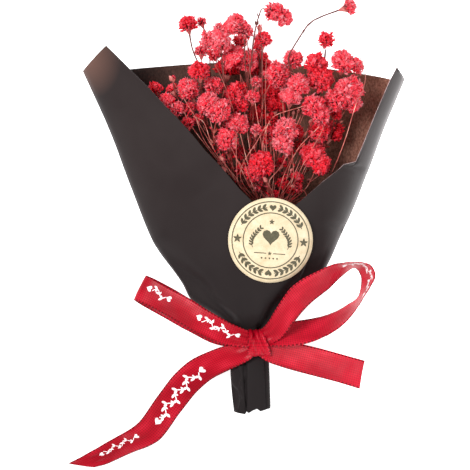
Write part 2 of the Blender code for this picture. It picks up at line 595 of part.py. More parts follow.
class Tangle:
    """The stems of all the sprays at once, as points and the segments between them."""

    def __init__(self, sprays, florets):
        self.sprays = sprays
        self.florets = florets
        self.offsets = np.cumsum([0] + [len(spray.points) for spray in sprays])
        self.points = np.vstack([np.array(spray.points) for spray in sprays])
        self.radii = np.concatenate([spray.radii for spray in sprays])
        starts, ends, tips = [], [], []
        for offset, spray in zip(self.offsets, sprays):
            for i, parent in enumerate(spray.parents):
                if parent >= 0:
                    ends.append(offset + i)
                    starts.append(offset + parent)
            tips += [(offset + tip, bloom) for bloom, tip in spray.tips.items()]
        self.starts, self.ends = np.array(starts), np.array(ends)
        self.tips, blooms = (np.array(column) for column in zip(*sorted(tips)))
        self.seats = np.array(florets.seats)[blooms]
        last_segments = np.searchsorted(self.ends, self.tips)
        self.before = self.starts[last_segments]
        self.own = np.zeros((len(ends), len(florets.radii)), bool)
        self.own[last_segments, self.seats] = True
        owner = np.concatenate([[spray.number] * len(spray.points) for spray in sprays])[self.ends]
        self.pair_a, self.pair_b = np.nonzero(owner[:, None] < owner[None, :])
        self.free = self.points[:, 1] > NECK + NECK_RUN[1] + 1
        self.free[self.tips] = False
        self.held = [offset + i for offset, spray in zip(self.offsets, sprays) for i in spray.held]

    def hold_tips(self):
        """Puts the end of each stalk under its bloom, on the side that the stalk comes from."""
        middles = self.florets.places[self.seats]
        back = self.points[self.before] - middles
        reach = BLOOM_BASE * self.florets.radii[self.seats] + GAP + TIP_ROOM
        self.points[self.tips] = middles + back / np.linalg.norm(back, axis=1)[:, None] * reach[:, None]

    def push_off_florets(self, move):
        """Adds moves that take the stems clear of the florets."""
        a, b = self.points[self.starts], self.points[self.ends]
        along = b - a
        places = self.florets.places
        share = ((places[None] - a[:, None]) * along[:, None]).sum(-1)
        share = np.clip(share / np.maximum((along * along).sum(-1), TINY)[:, None], 0, 1)
        away = a[:, None] + share[..., None] * along[:, None] - places[None]
        far = np.linalg.norm(away, axis=2)
        room = self.florets.radii[None] + self.radii[self.ends][:, None] + STEM_ROOM
        short = np.clip(room - far, 0, None)
        short[self.own] = 0
        push = away / np.maximum(far, TINY)[..., None] * short[..., None]
        np.add.at(move, self.starts, (push * (1 - share)[..., None]).sum(1))
        np.add.at(move, self.ends, (push * share[..., None]).sum(1))

    def push_off_stems(self, move):
        """Adds moves that take the stems of different sprays clear of each other."""
        a, b = self.points[self.starts], self.points[self.ends]
        one, two = self.pair_a, self.pair_b
        s, t = nearest_on_segments(a[one], b[one], a[two], b[two])
        away = a[one] + s[:, None] * (b - a)[one] - a[two] - t[:, None] * (b - a)[two]
        far = np.linalg.norm(away, axis=1)
        radii = self.radii[self.ends]
        short = np.clip(radii[one] + radii[two] + STEM_ROOM - far, 0, None)
        hit = short > 0
        push = away[hit] / np.maximum(far[hit], TINY)[:, None] * short[hit][:, None] / 2
        for side, shares, sign in ((one[hit], s[hit], 1), (two[hit], t[hit], -1)):
            np.add.at(move, self.starts[side], sign * push * (1 - shares)[:, None])
            np.add.at(move, self.ends[side], sign * push * shares[:, None])

    def straighten(self, move):
        """Adds moves that draw each point towards the middle of its neighbours."""
        pull = np.zeros_like(self.points)
        count = np.zeros(len(self.points))
        for one, two in ((self.starts, self.ends), (self.ends, self.starts)):
            np.add.at(pull, one, self.points[two] - self.points[one])
            np.add.at(count, one, 1)
        move += STRAIGHTEN * pull / np.maximum(count, 1)[:, None]

    def keep_inside(self):
        """Keeps the free points between the back and the flaps."""
        for i in np.nonzero(self.free)[0]:
            low, high = depth_range(self.points[i, 0], self.points[i, 1], self.radii[i] + PAPER_ROOM)
            self.points[i, 2] = min(max(self.points[i, 2], low), high)

    def bend_clear(self):
        """Bends the stems clear of the florets, of the other sprays and of the paper.

        The named points of a bent stalk only rise or sink.
        """
        for _ in range(BENDS):
            self.hold_tips()
            move = np.zeros_like(self.points)
            self.push_off_florets(move)
            self.push_off_stems(move)
            self.straighten(move)
            move[self.held, :2] = 0
            self.points[self.free] += BEND_SHARE * move[self.free]
            self.keep_inside()
        for offset, spray in zip(self.offsets, self.sprays):
            spray.points = [self.points[offset + i] for i in range(len(spray.points))]


def tube(name, route, radius, finish, parts):
    """A closed tube of four sides along a route."""
    path = bpy.data.curves.new(name, "CURVE")
    path.dimensions = "3D"
    path.bevel_depth = radius * MM
    path.bevel_resolution = 0
    path.use_fill_caps = True
    spline = path.splines.new("POLY")
    spline.points.add(len(route) - 1)
    for point, place in zip(spline.points, route):
        point.co = (*(Vector(place) * MM), 1)
    guide = bpy.data.objects.new(name, path)
    parts.objects.link(guide)
    seen = guide.evaluated_get(bpy.context.evaluated_depsgraph_get())
    mesh = bpy.data.meshes.new_from_object(seen)
    bm = bmesh.new()
    bm.from_mesh(mesh)
    bmesh.ops.remove_doubles(bm, verts=bm.verts, dist=WELD)
    bmesh.ops.recalc_face_normals(bm, faces=bm.faces)
    bm.to_mesh(mesh)
    bm.free()
    made = add_object(name, mesh, finish, parts)
    made.matrix_world = guide.matrix_world
    bpy.data.objects.remove(guide, do_unlink=True)
    return made


def make_spray(spray, finish, parts):
    """One spray: each stem a tube, sunk into the stem that it grows from, all fused."""
    children = {}
    for i, parent in enumerate(spray.parents):
        children.setdefault(parent, []).append(i)
    tubes = []
    starts = [(None, 0)]
    while starts:
        parent, here = starts.pop()
        route = [spray.points[parent]] if parent is not None else []
        if parent is not None and spray.parents[parent] >= 0:
            back = spray.points[spray.parents[parent]] - spray.points[parent]
            route = [spray.points[parent] + ROOT_SINK * back / np.linalg.norm(back)]
        radius = spray.radii[here]
        while here is not None:
            route.append(spray.points[here])
            following = children.get(here, [])
            starts += [(here, child) for child in following[1:]]
            here = following[0] if following else None
        tubes.append(tube(f"stem_{len(tubes)}", route, radius, finish, parts))
    first = tubes[0]
    first.name = f"spray_{spray.number}"
    union(first, tubes[1:], parts)


def make_floret(name, radius, axis, seed, finish, parts):
    """One floret: staggered petals raised all over a ball, drawn in to its calyx underneath."""
    chance = random.Random(seed)
    columns, rows = SMALL_PETALS if radius < SMALL_BLOOM * TIP_REACH else PETALS
    bm = bmesh.new()
    bmesh.ops.create_uvsphere(bm, u_segments=columns, v_segments=rows, radius=1)
    for vert in bm.verts:
        polar = math.acos(min(max(vert.co.z, -1), 1))
        ring = round(polar / math.pi * rows)
        column = round(math.atan2(vert.co.y, vert.co.x) / (2 * math.pi) * columns) % columns
        if ring == rows:
            vert.co = Vector((0, 0, -BLOOM_BASE))
            continue
        petal = (ring + column) % 2 == 0 and ring > 0
        reach = chance.uniform(*PETAL_TIPS) if petal else chance.uniform(*PETAL_VALLEYS)
        if ring == rows - 1:
            reach = BASE_REACH
            vert.co.z = -BLOOM_BASE / reach
        elif ring == rows - 2:
            reach = SHOULDER + SHOULDER_SHARE * reach
        vert.co *= reach
    bmesh.ops.triangulate(bm, faces=bm.faces)
    turn = Vector(axis).to_track_quat("Z", "Y").to_matrix().to_4x4()
    mesh = bpy.data.meshes.new("floret")
    bm.to_mesh(mesh)
    bm.free()
    mesh.transform(Matrix.Scale(radius * MM, 4) @ turn)
    return add_object(name, mesh, finish, parts)


def make_bloom(number, florets, tip, finish, parts):
    """A bloom's florets, which face away from the tip of its stalk and are fused."""
    own = [i for i, bloom in enumerate(florets.blooms) if bloom == number - 1]
    made = []
    for i in own:
        name = f"bloom_{number:02d}" if i == own[0] else "twin"
        axis = florets.places[i] - tip
        floret = make_floret(name, florets.radii[i], axis, i + 1, finish, parts)
        floret.location = Vector(florets.places[i]) * MM
        made.append(floret)
    bpy.context.view_layer.update()
    if len(made) > 1:
        union(made[0], made[1:], parts)


def make_flowers(finishes, parts):
    """All the sprays and their blooms."""
    florets = Florets()
    florets.settle()
    sprays = [plan_spray(number, florets) for number in sorted({bloom[4] for bloom in BLOOMS})]
    Tangle(sprays, florets).bend_clear()
    for spray in sprays:
        make_spray(spray, finishes["stem"], parts)
        for bloom, tip in spray.tips.items():
            make_bloom(bloom + 1, florets, spray.points[tip], finishes[BLOOMS[bloom][5]], parts)


def main():
    """Builds the bouquet in an emptied scene."""
    for old in list(bpy.data.objects):
        bpy.data.objects.remove(old, do_unlink=True)
    parts = bpy.data.collections.new(BOUQUET)
    bpy.context.scene.collection.children.link(parts)
    make_wrap(material("black_paper", (0.045, 0.036, 0.036), 0.5), parts)
    make_sticker(material("kraft_label", (0.82, 0.68, 0.44), 0.75), parts)
    make_ribbon(material("red_satin", (0.55, 0.008, 0.03), 0.35), parts)
    finishes = {"stem": material("stem", (0.42, 0.16, 0.13), 0.7)}
    for tint, colour in PETAL_COLOURS.items():
        finishes[tint] = material("petal_" + tint, colour, 0.8)
    make_flowers(finishes, parts)


main()
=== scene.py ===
# %% [markdown]
# # A small bouquet of dried gypsophila
# The bouquet lies on its back: red dyed baby's breath in a cone of black paper, with a round kraft
# label and a satin bow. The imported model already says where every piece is. This lesson gives each
# piece its fine surface and leaves its place alone.

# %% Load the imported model
import math
import random

import bmesh
import bpy
import numpy as np
from mathutils import Matrix, Vector, kdtree, noise


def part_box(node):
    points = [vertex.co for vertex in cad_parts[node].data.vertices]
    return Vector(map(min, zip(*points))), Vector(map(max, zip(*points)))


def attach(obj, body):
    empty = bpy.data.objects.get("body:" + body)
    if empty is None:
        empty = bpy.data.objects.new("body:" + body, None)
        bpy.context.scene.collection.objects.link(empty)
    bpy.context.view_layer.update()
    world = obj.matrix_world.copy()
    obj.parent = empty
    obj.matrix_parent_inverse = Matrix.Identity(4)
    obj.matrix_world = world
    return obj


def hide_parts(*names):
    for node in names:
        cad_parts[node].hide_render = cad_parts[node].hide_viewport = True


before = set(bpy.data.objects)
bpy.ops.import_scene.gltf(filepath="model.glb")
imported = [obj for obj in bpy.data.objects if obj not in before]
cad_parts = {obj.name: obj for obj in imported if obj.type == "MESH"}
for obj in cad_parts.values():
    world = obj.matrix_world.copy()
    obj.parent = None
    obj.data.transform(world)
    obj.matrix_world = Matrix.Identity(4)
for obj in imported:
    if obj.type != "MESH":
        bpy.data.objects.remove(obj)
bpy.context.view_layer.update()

MM = 0.001
print("nodes:", len(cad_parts))

# %% [markdown]
# ## Helpers
# Most heights here change smoothly along the bouquet, so a few places and values are enough, and a
# curve that never overshoots fills in the rest. The same curve was used to model the solids.

# %% A smooth curve through a few values
def curve(stations):
    """A smooth function through (place, value) stations that never overshoots them."""
    xs, ys = np.array(stations, float).T
    steps = np.diff(xs)
    slopes = np.diff(ys) / steps
    tangents = np.zeros(len(xs))
    tangents[0], tangents[-1] = slopes[0], slopes[-1]
    for i, (a, b) in enumerate(zip(slopes, slopes[1:]), 1):
        if a * b > 0:
            tangents[i] = 2 * a * b / (a + b)

    def value(x):
        i = int(np.clip(np.searchsorted(xs, x) - 1, 0, len(steps) - 1))
        t = float(np.clip((x - xs[i]) / steps[i], 0, 1))
        return float((1 + 2 * t) * (1 - t) ** 2 * ys[i] + t * (1 - t) ** 2 * steps[i] * tangents[i]
                     + t * t * (3 - 2 * t) * ys[i + 1] + t * t * (t - 1) * steps[i] * tangents[i + 1])

    return value


def curves(rows):
    """A curve for each column of a table, over the numbers of its rows."""
    return [curve(list(enumerate(column))) for column in zip(*rows)]


def ease(t):
    """Goes smoothly from 0 to 1 as t does."""
    t = min(max(t, 0.0), 1.0)
    return t * t * (3 - 2 * t)


def bump(x, middle, width):
    """A soft bell of height 1."""
    return math.exp(-((x - middle) / width) ** 2)


# %% Put shapes in place and finish a piece
def flat_grid(bm, columns, rows, **settings):
    """The verts of a grid of size 1, which is then bent into a sheet, a strip or a tube."""
    return bmesh.ops.create_grid(bm, x_segments=columns, y_segments=rows, size=0.5, **settings)["verts"]


def put(bm, verts, place, turn, *sizes):
    """Turns and scales verts that were made in millimetres, and moves them to their place."""
    matrix = Matrix.Scale(MM, 4) @ Matrix.Translation(place) @ turn.to_4x4()
    bmesh.ops.transform(bm, verts=verts, matrix=matrix @ Matrix.Diagonal((*sizes, 1)) if sizes else matrix)


def face_outwards(bm):
    bmesh.ops.recalc_face_normals(bm, faces=bm.faces)


def faces_of(verts):
    return {face for vert in verts for face in vert.link_faces}


def anywhere(chance, low=-1, high=1):
    """A random vector, whose three numbers lie between two limits."""
    return Vector([chance.uniform(low, high) for _ in range(3)])


def as_mesh(name, bm):
    mesh = bpy.data.meshes.new(name)
    bm.to_mesh(mesh)
    bm.free()
    return mesh


def add_object(name, data):
    made = bpy.data.objects.new(name, data)
    bpy.context.scene.collection.objects.link(made)
    return made


def add_piece(name, bm, finishes, nodes=(), smooth=True):
    """Makes an object at the origin from a bmesh, rides it on the frame and replaces its nodes."""
    mesh = as_mesh(name, bm)
    for finish in finishes:
        mesh.materials.append(finish.material)
    if smooth:
        mesh.shade_smooth()
    piece = add_object(name, mesh)
    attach(piece, "root")
    if nodes:
        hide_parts(*nodes)
    return piece


def thicken(piece, thickness, inside=0, rim=0):
    """Gives a sheet its real thickness in millimetres, half to each side."""
    solid = piece.modifiers.new("Thickness", "SOLIDIFY")
    solid.thickness = thickness * MM
    solid.offset = 0
    solid.material_offset, solid.material_offset_rim = inside, rim


# %% Build node materials briefly
class Finish:
    """A Principled material with short calls for the nodes that it needs."""

    def __init__(self, name, **sockets):
        self.material = bpy.data.materials.new(name)
        self.material.use_nodes = True
        self.nodes = self.material.node_tree.nodes
        self.links = self.material.node_tree.links
        self.shader = self.nodes["Principled BSDF"]
        for socket, value in sockets.items():
            self.shader.inputs[socket.replace("_", " ")].default_value = value
        self.place = self.nodes.new("ShaderNodeTexCoord").outputs["Object"]

    def node(self, kind, inputs=None, **settings):
        made = self.nodes.new("ShaderNode" + kind)
        for key, value in settings.items():
            setattr(made, key, value)
        for key, value in (inputs or {}).items():
            if isinstance(value, bpy.types.NodeSocket):
                self.links.new(value, made.inputs[key])
            else:
                made.inputs[key].default_value = value
        return made

    def feed(self, socket, value):
        """Links a value into one of the shader's own sockets."""
        self.links.new(value, self.shader.inputs[socket])

    def colour(self, value):
        self.feed("Base Color", value)

    def noise(self, scale, detail=4, rough=0.55, place=None, stretch=None):
        if stretch:
            place = self.node("Mapping", {"Vector": self.place, "Scale": stretch}).outputs[0]
        return self.node("TexNoise", {"Vector": place or self.place, "Scale": scale, "Detail": detail,
                                      "Roughness": rough}).outputs["Fac"]

    def math(self, operation, *values):
        return self.node("Math", dict(enumerate(values)), operation=operation).outputs[0]

    def times(self, *values):
        return self.math("MULTIPLY", *values)

    def spread(self, value, low, high, to_low=0.0, to_high=1.0):
        """Turns one range of values into another."""
        return self.node("MapRange", {"Value": value, "From Min": low, "From Max": high, "To Min": to_low,
                                      "To Max": to_high}).outputs[0]

    def along(self, axis, *limits):
        """Spreads the place along an axis of the object, in metres."""
        return self.spread(self.node("SeparateXYZ", {"Vector": self.place}).outputs[axis], *limits)

    def ramp(self, factor, *stops):
        made = self.node("ValToRGB", {"Fac": factor})
        elements = made.color_ramp.elements
        while len(elements) < len(stops):
            elements.new(0.5)
        for element, (position, colour) in zip(elements, stops):
            element.position = position
            element.color = (*colour, 1)
        return made.outputs["Color"]

    def mix(self, factor, *colours):
        """A mix of two colours, which are sockets or three numbers."""
        one, two = (colour if isinstance(colour, bpy.types.NodeSocket) else (*colour, 1)
                    for colour in colours)
        return self.node("Mix", {0: factor, 6: one, 7: two}, data_type="RGBA").outputs[2]

    def bump(self, height, distance, strength=1.0):
        last = self.shader.inputs["Normal"].links
        inputs = {"Height": height, "Distance": distance, "Strength": strength}
        if last:
            inputs["Normal"] = last[0].from_socket
        self.feed("Normal", self.node("Bump", inputs).outputs[0])


# %% [markdown]
# ## The camera, the light and the floor
# The bouquet was photographed from above, so the camera looks straight down with a long lens. The
# light comes from a bright, even sky, with two soft lamps that model the folds. The floor glows like
# a light table, which keeps it free of shadows. It glows most on the right, and that puts a bright
# rim on the paper where it turns away there.

# %% Camera
VIEW_MIDDLE = Vector((-6.25, 2.1, 0)) * MM
VIEW_WIDTH = 195.8 * MM
CAMERA_HEIGHT = 1.3
FOCUS_HEIGHT = 0.016        # the level at which the view is as wide as the photograph
SENSOR = 36
camera_data = bpy.data.cameras.new("camera")
camera_data.sensor_width = SENSOR
camera_data.lens = SENSOR * (CAMERA_HEIGHT - FOCUS_HEIGHT) / VIEW_WIDTH
camera_data.clip_start = 0.05
camera = add_object("camera", camera_data)
camera.location = VIEW_MIDDLE + Vector((0, 0, CAMERA_HEIGHT))
bpy.context.scene.camera = camera
bpy.context.scene.view_settings.view_transform = "Standard"
print("lens:", round(camera_data.lens), "mm")

# %% Light and floor
def soft_lamp(name, place, aim, size, power):
    """A large square lamp that shines from a place towards a point."""
    lamp = bpy.data.lights.new(name, "AREA")
    lamp.size = size
    lamp.energy = power
    lit = add_object(name, lamp)
    lit.location = place
    lit.rotation_euler = (Vector(aim) - Vector(place)).to_track_quat("-Z", "Y").to_euler()


soft_lamp("key_lamp", (-0.4, 0.2, 0.85), (0, 0, 0.02), 0.3, 9.0)
soft_lamp("side_lamp", (0.5, -0.34, 0.55), (0.03, 0, 0.02), 0.25, 2.2)
world = bpy.data.worlds.new("world")
world.use_nodes = True
sky = world.node_tree.nodes["Background"].inputs
sky["Color"].default_value = (1, 1, 1, 1)
sky["Strength"].default_value = 0.62
bpy.context.scene.world = world

bm = bmesh.new()
bmesh.ops.create_grid(bm, x_segments=1, y_segments=1, size=3)
floor = add_object("floor", as_mesh("floor", bm))
light_table = Finish("light_table", Base_Color=(0.9, 0.9, 0.9, 1), Roughness=0.9)
light_table.feed("Emission Strength", light_table.along("X", 0.02, 0.06, 0.8, 1.7))
floor.data.materials.append(light_table.material)
floor.location.z = -0.0002

# %% [markdown]
# ## The paper cone
# One sheet of paper, black outside and brown inside, is rolled round the stems: the left flap lies
# over the right one, and the lower end is gathered. A flat grid stands for the sheet, and each of
# its columns is laid round the cone: up the left flap, round the back, and up the right flap.

# %% The form of the cone
BACK_FLAT = 0.7
LAYER = 0.7
SOLID_PAPER = 0.7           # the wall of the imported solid, whose middle the paper follows
LEFT_SIDE = ((-71.7, -6.6), (-60, -7.8), (-50.6, -8.2), (-43, -7.1), (-38, -8.0), (-32.5, -13.3),
             (-24.6, -24.8), (-18.3, -28.1), (-4, -38.4), (0, -40.8), (22, -49.6), (45.4, -58.3),
             (70.4, -69.6), (80, -74.0))
RIGHT_SIDE = ((-71.7, 8.6), (-60, 8.3), (-50.6, 7.9), (-43, 7.1), (-38, 7.8), (-32.5, 13.0),
              (-20.8, 25.8), (-9.4, 32.9), (0, 37.1), (16.3, 44.2), (32.9, 50.8), (47.9, 56.3),
              (67.1, 64.4), (80, 70.0))
CROWN = ((-71.7, 11.4), (-55, 11.6), (-43, 10.4), (-37.5, 11.2), (-33.5, 15.6), (-29, 20.4), (-20.8, 24),
         (0, 30), (68.8, 42), (80, 44))
FOLD_HEIGHT = ((-71.7, 5.4), (-43, 5.0), (-30, 7), (0, 10), (68.8, 16), (80, 17))
LIFT = ((-71.7, 0.4), (-56, 0.6), (-49, 1.6), (-37, 1.6), (-29, 0), (80, 0))
PLEAT_PLACE = ((-43, 0.5), (-30, 0.55), (-20.8, 0.68), (-9, 0.88), (10, 0.95))
PLEAT_DEPTH = ((-52, 0), (-43, 1.0), (-36, 3.0), (-28, 4.6), (-20, 4.2), (-10, 2.2), (2, 0))
GROOVE_DEPTH = ((-72, 0.9), (-56, 0.9), (-50, 0))
left_side, right_side, crown = curve(LEFT_SIDE), curve(RIGHT_SIDE), curve(CROWN)
fold_height, lift = curve(FOLD_HEIGHT), curve(LIFT)
pleat_place, pleat_depth, groove_depth = curve(PLEAT_PLACE), curve(PLEAT_DEPTH), curve(GROOVE_DEPTH)


def span(y):
    """The middle and the half width of the cone."""
    return (left_side(y) + right_side(y)) / 2, (right_side(y) - left_side(y)) / 2


def fold_level(y):
    """The height at which the sheet turns round at the sides."""
    return lift(y) + SOLID_PAPER / 2 + fold_height(y)


def crown_height(share, y):
    """Height of the front of the cone without its pleats, at a share of the half width."""
    return fold_level(y) + (crown(y) - fold_level(y)) * max(0.0, 1 - abs(share) ** 2.4) ** 0.7


def over_paper(x, y, gap):
    """A height over the front of the cone at a place across the picture."""
    middle, half = span(y)
    return crown_height((x - middle) / half, y) + LAYER + gap


def cone_point(place, share, y):
    """A point of the sheet on the left flap, the right flap or the back."""
    middle, half = span(y)
    x = middle + share * half
    if place == "back":
        bend = max(0.0, (abs(share) - BACK_FLAT) / (1 - BACK_FLAT))
        return Vector((x, y, fold_level(y) - fold_height(y) * math.sqrt(max(0.0, 1 - bend ** 2))))
    pleat = 0.7 * pleat_depth(y) * bump(abs(share), pleat_place(y), 0.15) * min(1.0, (1 - abs(share)) / 0.1)
    groove = groove_depth(y) * bump(share, -0.32, 0.07)
    z = crown_height(share, y) - pleat - groove
    side = LAYER if place == "left" else -LAYER
    return Vector((x, y, z + side * ease((1 + share if place == "left" else 1 - share) / 0.5)))


# %% The edges of the sheet
LEFT_FLAP = ((-1, 70.4), (-0.795, 80), (-0.705, 70.4), (-0.55, 55.4), (-0.32, 36.7), (-0.057, 20.8),
             (0.26, 6.7), (0.725, -10))
RIGHT_FLAP = ((-0.1, -5), (0.26, 6.7), (0.504, 16.7), (0.637, 23.8), (0.793, 31.3), (0.87, 32.6),
              (0.882, 40), (0.895, 53.3), (0.905, 66), (0.918, 71.6), (1, 67.1))
BACK_PANEL = ((-1, 70.4), (-0.71, 70.4), (-0.235, 74), (-0.06, 75), (0.17, 74.1), (0.755, 67.3),
              (1, 67.1))
HANDLE_EDGE = ((-1, -71.7), (-0.8, -72.4), (-0.55, -73.0), (-0.4, -71.4), (-0.19, -72.3), (0.05, -71.2),
               (0.26, -70.6), (0.45, -71.6), (0.6, -71.3), (0.8, -70.9), (1, -70.2))
COLUMN_STEP = 0.026
SPLIT = -20.0
FLAP_LEVEL = 30.0           # y up to which the rows of all columns that reach it are level
SHORT_TOP = 1.2             # how far below its edge a shorter column starts its last rows
ROWS = (60, 40, 34)         # below the split, from there to the level of the flaps, and above it


def column_list():
    """Every column of the sheet as its place, share and upper edge."""
    columns = []
    for place, edge, start, stop in (("left", LEFT_FLAP, 0.725, -1), ("back", BACK_PANEL, -1, 1),
                                     ("right", RIGHT_FLAP, 1, -0.1)):
        keys = sorted({round(share, 4) for share, _ in edge} | {start, stop, 0.0}, reverse=start > stop)
        for a, b in zip(keys, keys[1:]):
            cuts = max(1, round(abs(b - a) / COLUMN_STEP))
            columns += [(place, a + (b - a) * i / cuts, edge) for i in range(cuts)]
    return columns + [("right", -0.1, RIGHT_FLAP)]


# %% Creases and wrinkles
WAVES = ((0.35, 0.05, 0.04, 3.1), (0.12, 0.14, 0.1, 7.7))   # depth, scales in x and y, seed
# a dent lies where part * x + part * y has a level: both parts, level, width, its x, length, depth
DENTS = {"left": ((0.45, 1, -15.5, 2.2, -19, 7, 0.7), (0.7, -1, -34.5, 3.0, -20, 6, 0.5)),
         "right": ((1, 2.4, 49.5, 5.0, 35.5, 5.5, 1.0),)}
CRUMPLED_FROM = -46         # the y below which the handle is crumpled


def relief(place, share, x, y):
    """How far the paper stands in or out of the even cone, in millimetres."""
    out = sum(depth * noise.noise(Vector((x * scale_x, y * scale_y, seed)))
              for depth, scale_x, scale_y, seed in WAVES)
    if place == "back":
        return 0.0 if abs(share) < 0.85 else out * 0.5
    keel = ease((-18 - y) / 8) * ease((y + 38) / 5)
    out += 0.6 * keel * (1 - min(1.0, abs(x + 5.4) / 7.0))
    gather = ease((4 - y) / 20) * ease((y + 41) / 8)
    out += 0.22 * gather * math.sin(share * 17 + 0.08 * y) * abs(share)
    for part_x, part_y, level, width, middle, length, depth in DENTS[place]:
        out -= depth * bump(part_x * x + part_y * y, level, width) * bump(x, middle, length)
    if place == "right":
        crease = ease((share - 0.68) / 0.12) * ease((1 - share) / 0.08)
        out -= 1.1 * crease * bump(y + 0.16 * (x - 39.5), 30.9, 1.2)
    else:
        out += 0.7 * bump(y - 0.5 * (x + 40), 0, 2.6) * ease((-0.75 - share) / 0.15)
    low = ease((CRUMPLED_FROM - y) / 4)
    if low:
        crumpled = low * ease((-1.4 - x) / 0.8)
        facets = noise.voronoi(Vector((x * 0.26, y * 0.1, 4.0)))[0]
        out -= crumpled * 2.8 * (facets[1] - facets[0])
        out -= 1.8 * crumpled * ease((y + 52.6 - 0.5 * (x + 5)) / 0.7)
        out -= 0.7 * low * bump(x, -1.6, 0.5)
    return out


# %% Lay the sheet round the cone
PAPER = 0.28
columns = column_list()
bm = bmesh.new()
for vert in flat_grid(bm, len(columns) - 1, sum(ROWS)):
    column = round((vert.co.x + 0.5) * (len(columns) - 1))
    row = round((vert.co.y + 0.5) * sum(ROWS))
    place, share, edge = columns[column]
    top = float(np.interp(share, *zip(*edge)))
    end = float(np.interp(share, *zip(*HANDLE_EDGE)))
    y = float(np.interp(row, np.cumsum((0, *ROWS)), (end, SPLIT, min(FLAP_LEVEL, top - SHORT_TOP), top)))
    if place == "back":
        share = math.sin(share * math.pi / 2)       # closer together where the sheet turns sharply
    spot = cone_point(place, share, y)
    tilt = Vector((share, 0, 0.35 + (1 - abs(share)))).normalized()
    vert.co = (spot + tilt * relief(place, share, spot.x, y)) * MM
face_outwards(bm)
underneath = min(bm.faces, key=lambda face: face.calc_center_median().z)
if underneath.normal.z > 0:
    bmesh.ops.reverse_faces(bm, faces=bm.faces)
print("paper cone:", len(bm.faces), "faces,", len(columns), "columns")

# %% [markdown]
# The paper is dyed black on its outer side and left brown on the other. Both sides are one mesh: the
# thickness modifier gives the inner skin the second material and the cut edge the third. The black
# side shines most where it turns up on the right. Its colour carries painted shade towards the handle
# and a painted brown sheen at the left tip, and the brown side and the cut edge are painted lit on the
# right and shaded on the left.

# %% Finishes of the paper
TIP = (-0.066, 0.079, 0.02)
black = Finish("black_paper", Sheen_Roughness=0.4, Sheen_Tint=(1.0, 0.92, 0.93, 1))
dye_and_painted_shade = black.ramp(black.noise(28, 3), (0.3, (0.0245, 0.0185, 0.0185)), (0.7, (0.032, 0.025, 0.0247)))
# painted shade: the black is darkened towards the handle, where less light reaches it
dye_and_painted_shade = black.mix(black.along("Y", 0.03, -0.055, 0, 0.75), dye_and_painted_shade, (0.0145, 0.0125, 0.013))
# painted sheen: a warm brown sheen is painted into the black near the left tip
from_tip = black.node("VectorMath", {0: black.place, 1: TIP}, operation="DISTANCE").outputs["Value"]
black.colour(black.mix(black.spread(from_tip, 0.02, 0.004), dye_and_painted_shade, (0.14, 0.075, 0.06)))
turned_up = black.along("X", 0.03, 0.048)
polished = black.times(turned_up, black.along("Y", 0.027, 0.035, 0.3))
black.feed("Sheen Weight", black.times(polished, 0.4))
black.feed("Specular IOR Level", black.math("ADD", 0.015, black.times(turned_up, 0.17)))
black.feed("Roughness", black.spread(black.noise(60, 4), 0, 1, 0.3, 0.42))
black.bump(black.noise(1400, 3), 0.00003, 0.5)
brown = Finish("brown_paper", Roughness=0.7, Specular_IOR_Level=0.12)
fibres = brown.noise(900, 3, 0.7, stretch=(1.7, 1.0, 1.0))
shaded = brown.ramp(fibres, (0.3, (0.009, 0.005, 0.005)), (0.8, (0.026, 0.015, 0.013)))
lit = brown.ramp(fibres, (0.3, (0.1, 0.038, 0.024)), (0.8, (0.4, 0.185, 0.13)))
brown.colour(brown.mix(brown.along("X", -0.05, 0.06), shaded, lit))
brown.bump(fibres, 0.00005, 0.6)
cut = Finish("cut_edge", Roughness=0.7)
lit_fray = cut.ramp(cut.noise(600, 3), (0.35, (0.3, 0.2, 0.2)), (0.65, (0.6, 0.47, 0.47)))
# painted light and shade: the cut edge is painted dark on the left, as shade, and light on the right, as if
# lit
cut.colour(cut.mix(cut.along("X", 0.02, 0.045), (0.03, 0.02, 0.018), lit_fray))
wrap = add_piece("paper_cone", bm, (black, brown, cut), ["wrap"])
thicken(wrap, PAPER, inside=1, rim=2)

# %% [markdown]
# ## The round label
# A thin disc of kraft card is stuck across the edge of the left flap. Its print is ink, which has no
# thickness to speak of, but as thin raised shapes it stays crisp at any distance. Every shape is
# drawn flat first, in millimetres, and is then laid on the curved front of the cone.

# %% Lay flat shapes on a curved surface
def lay(bm, surface, lift_off):
    """Moves a flat bmesh, in millimetres along and across, to a height over a surface."""
    step = 0.05
    for vert in bm.verts:
        along, across = vert.co.x, vert.co.y
        spot = surface(along, across)
        normal = (surface(along + step, across) - spot).cross(surface(along, across + step) - spot)
        vert.co = (spot + normal.normalized() * (vert.co.z + lift_off)) * MM


LABEL_MIDDLE = (8.4, -0.1)
LABEL_RADIUS = 17.5
LABEL_TURN = math.radians(-4)


def label_surface(along, across):
    """A point of the cone's front under the label, from its middle."""
    x = LABEL_MIDDLE[0] + along * math.cos(LABEL_TURN) - across * math.sin(LABEL_TURN)
    y = LABEL_MIDDLE[1] + along * math.sin(LABEL_TURN) + across * math.cos(LABEL_TURN)
    return Vector((x, y, over_paper(x, y, 0.7)))


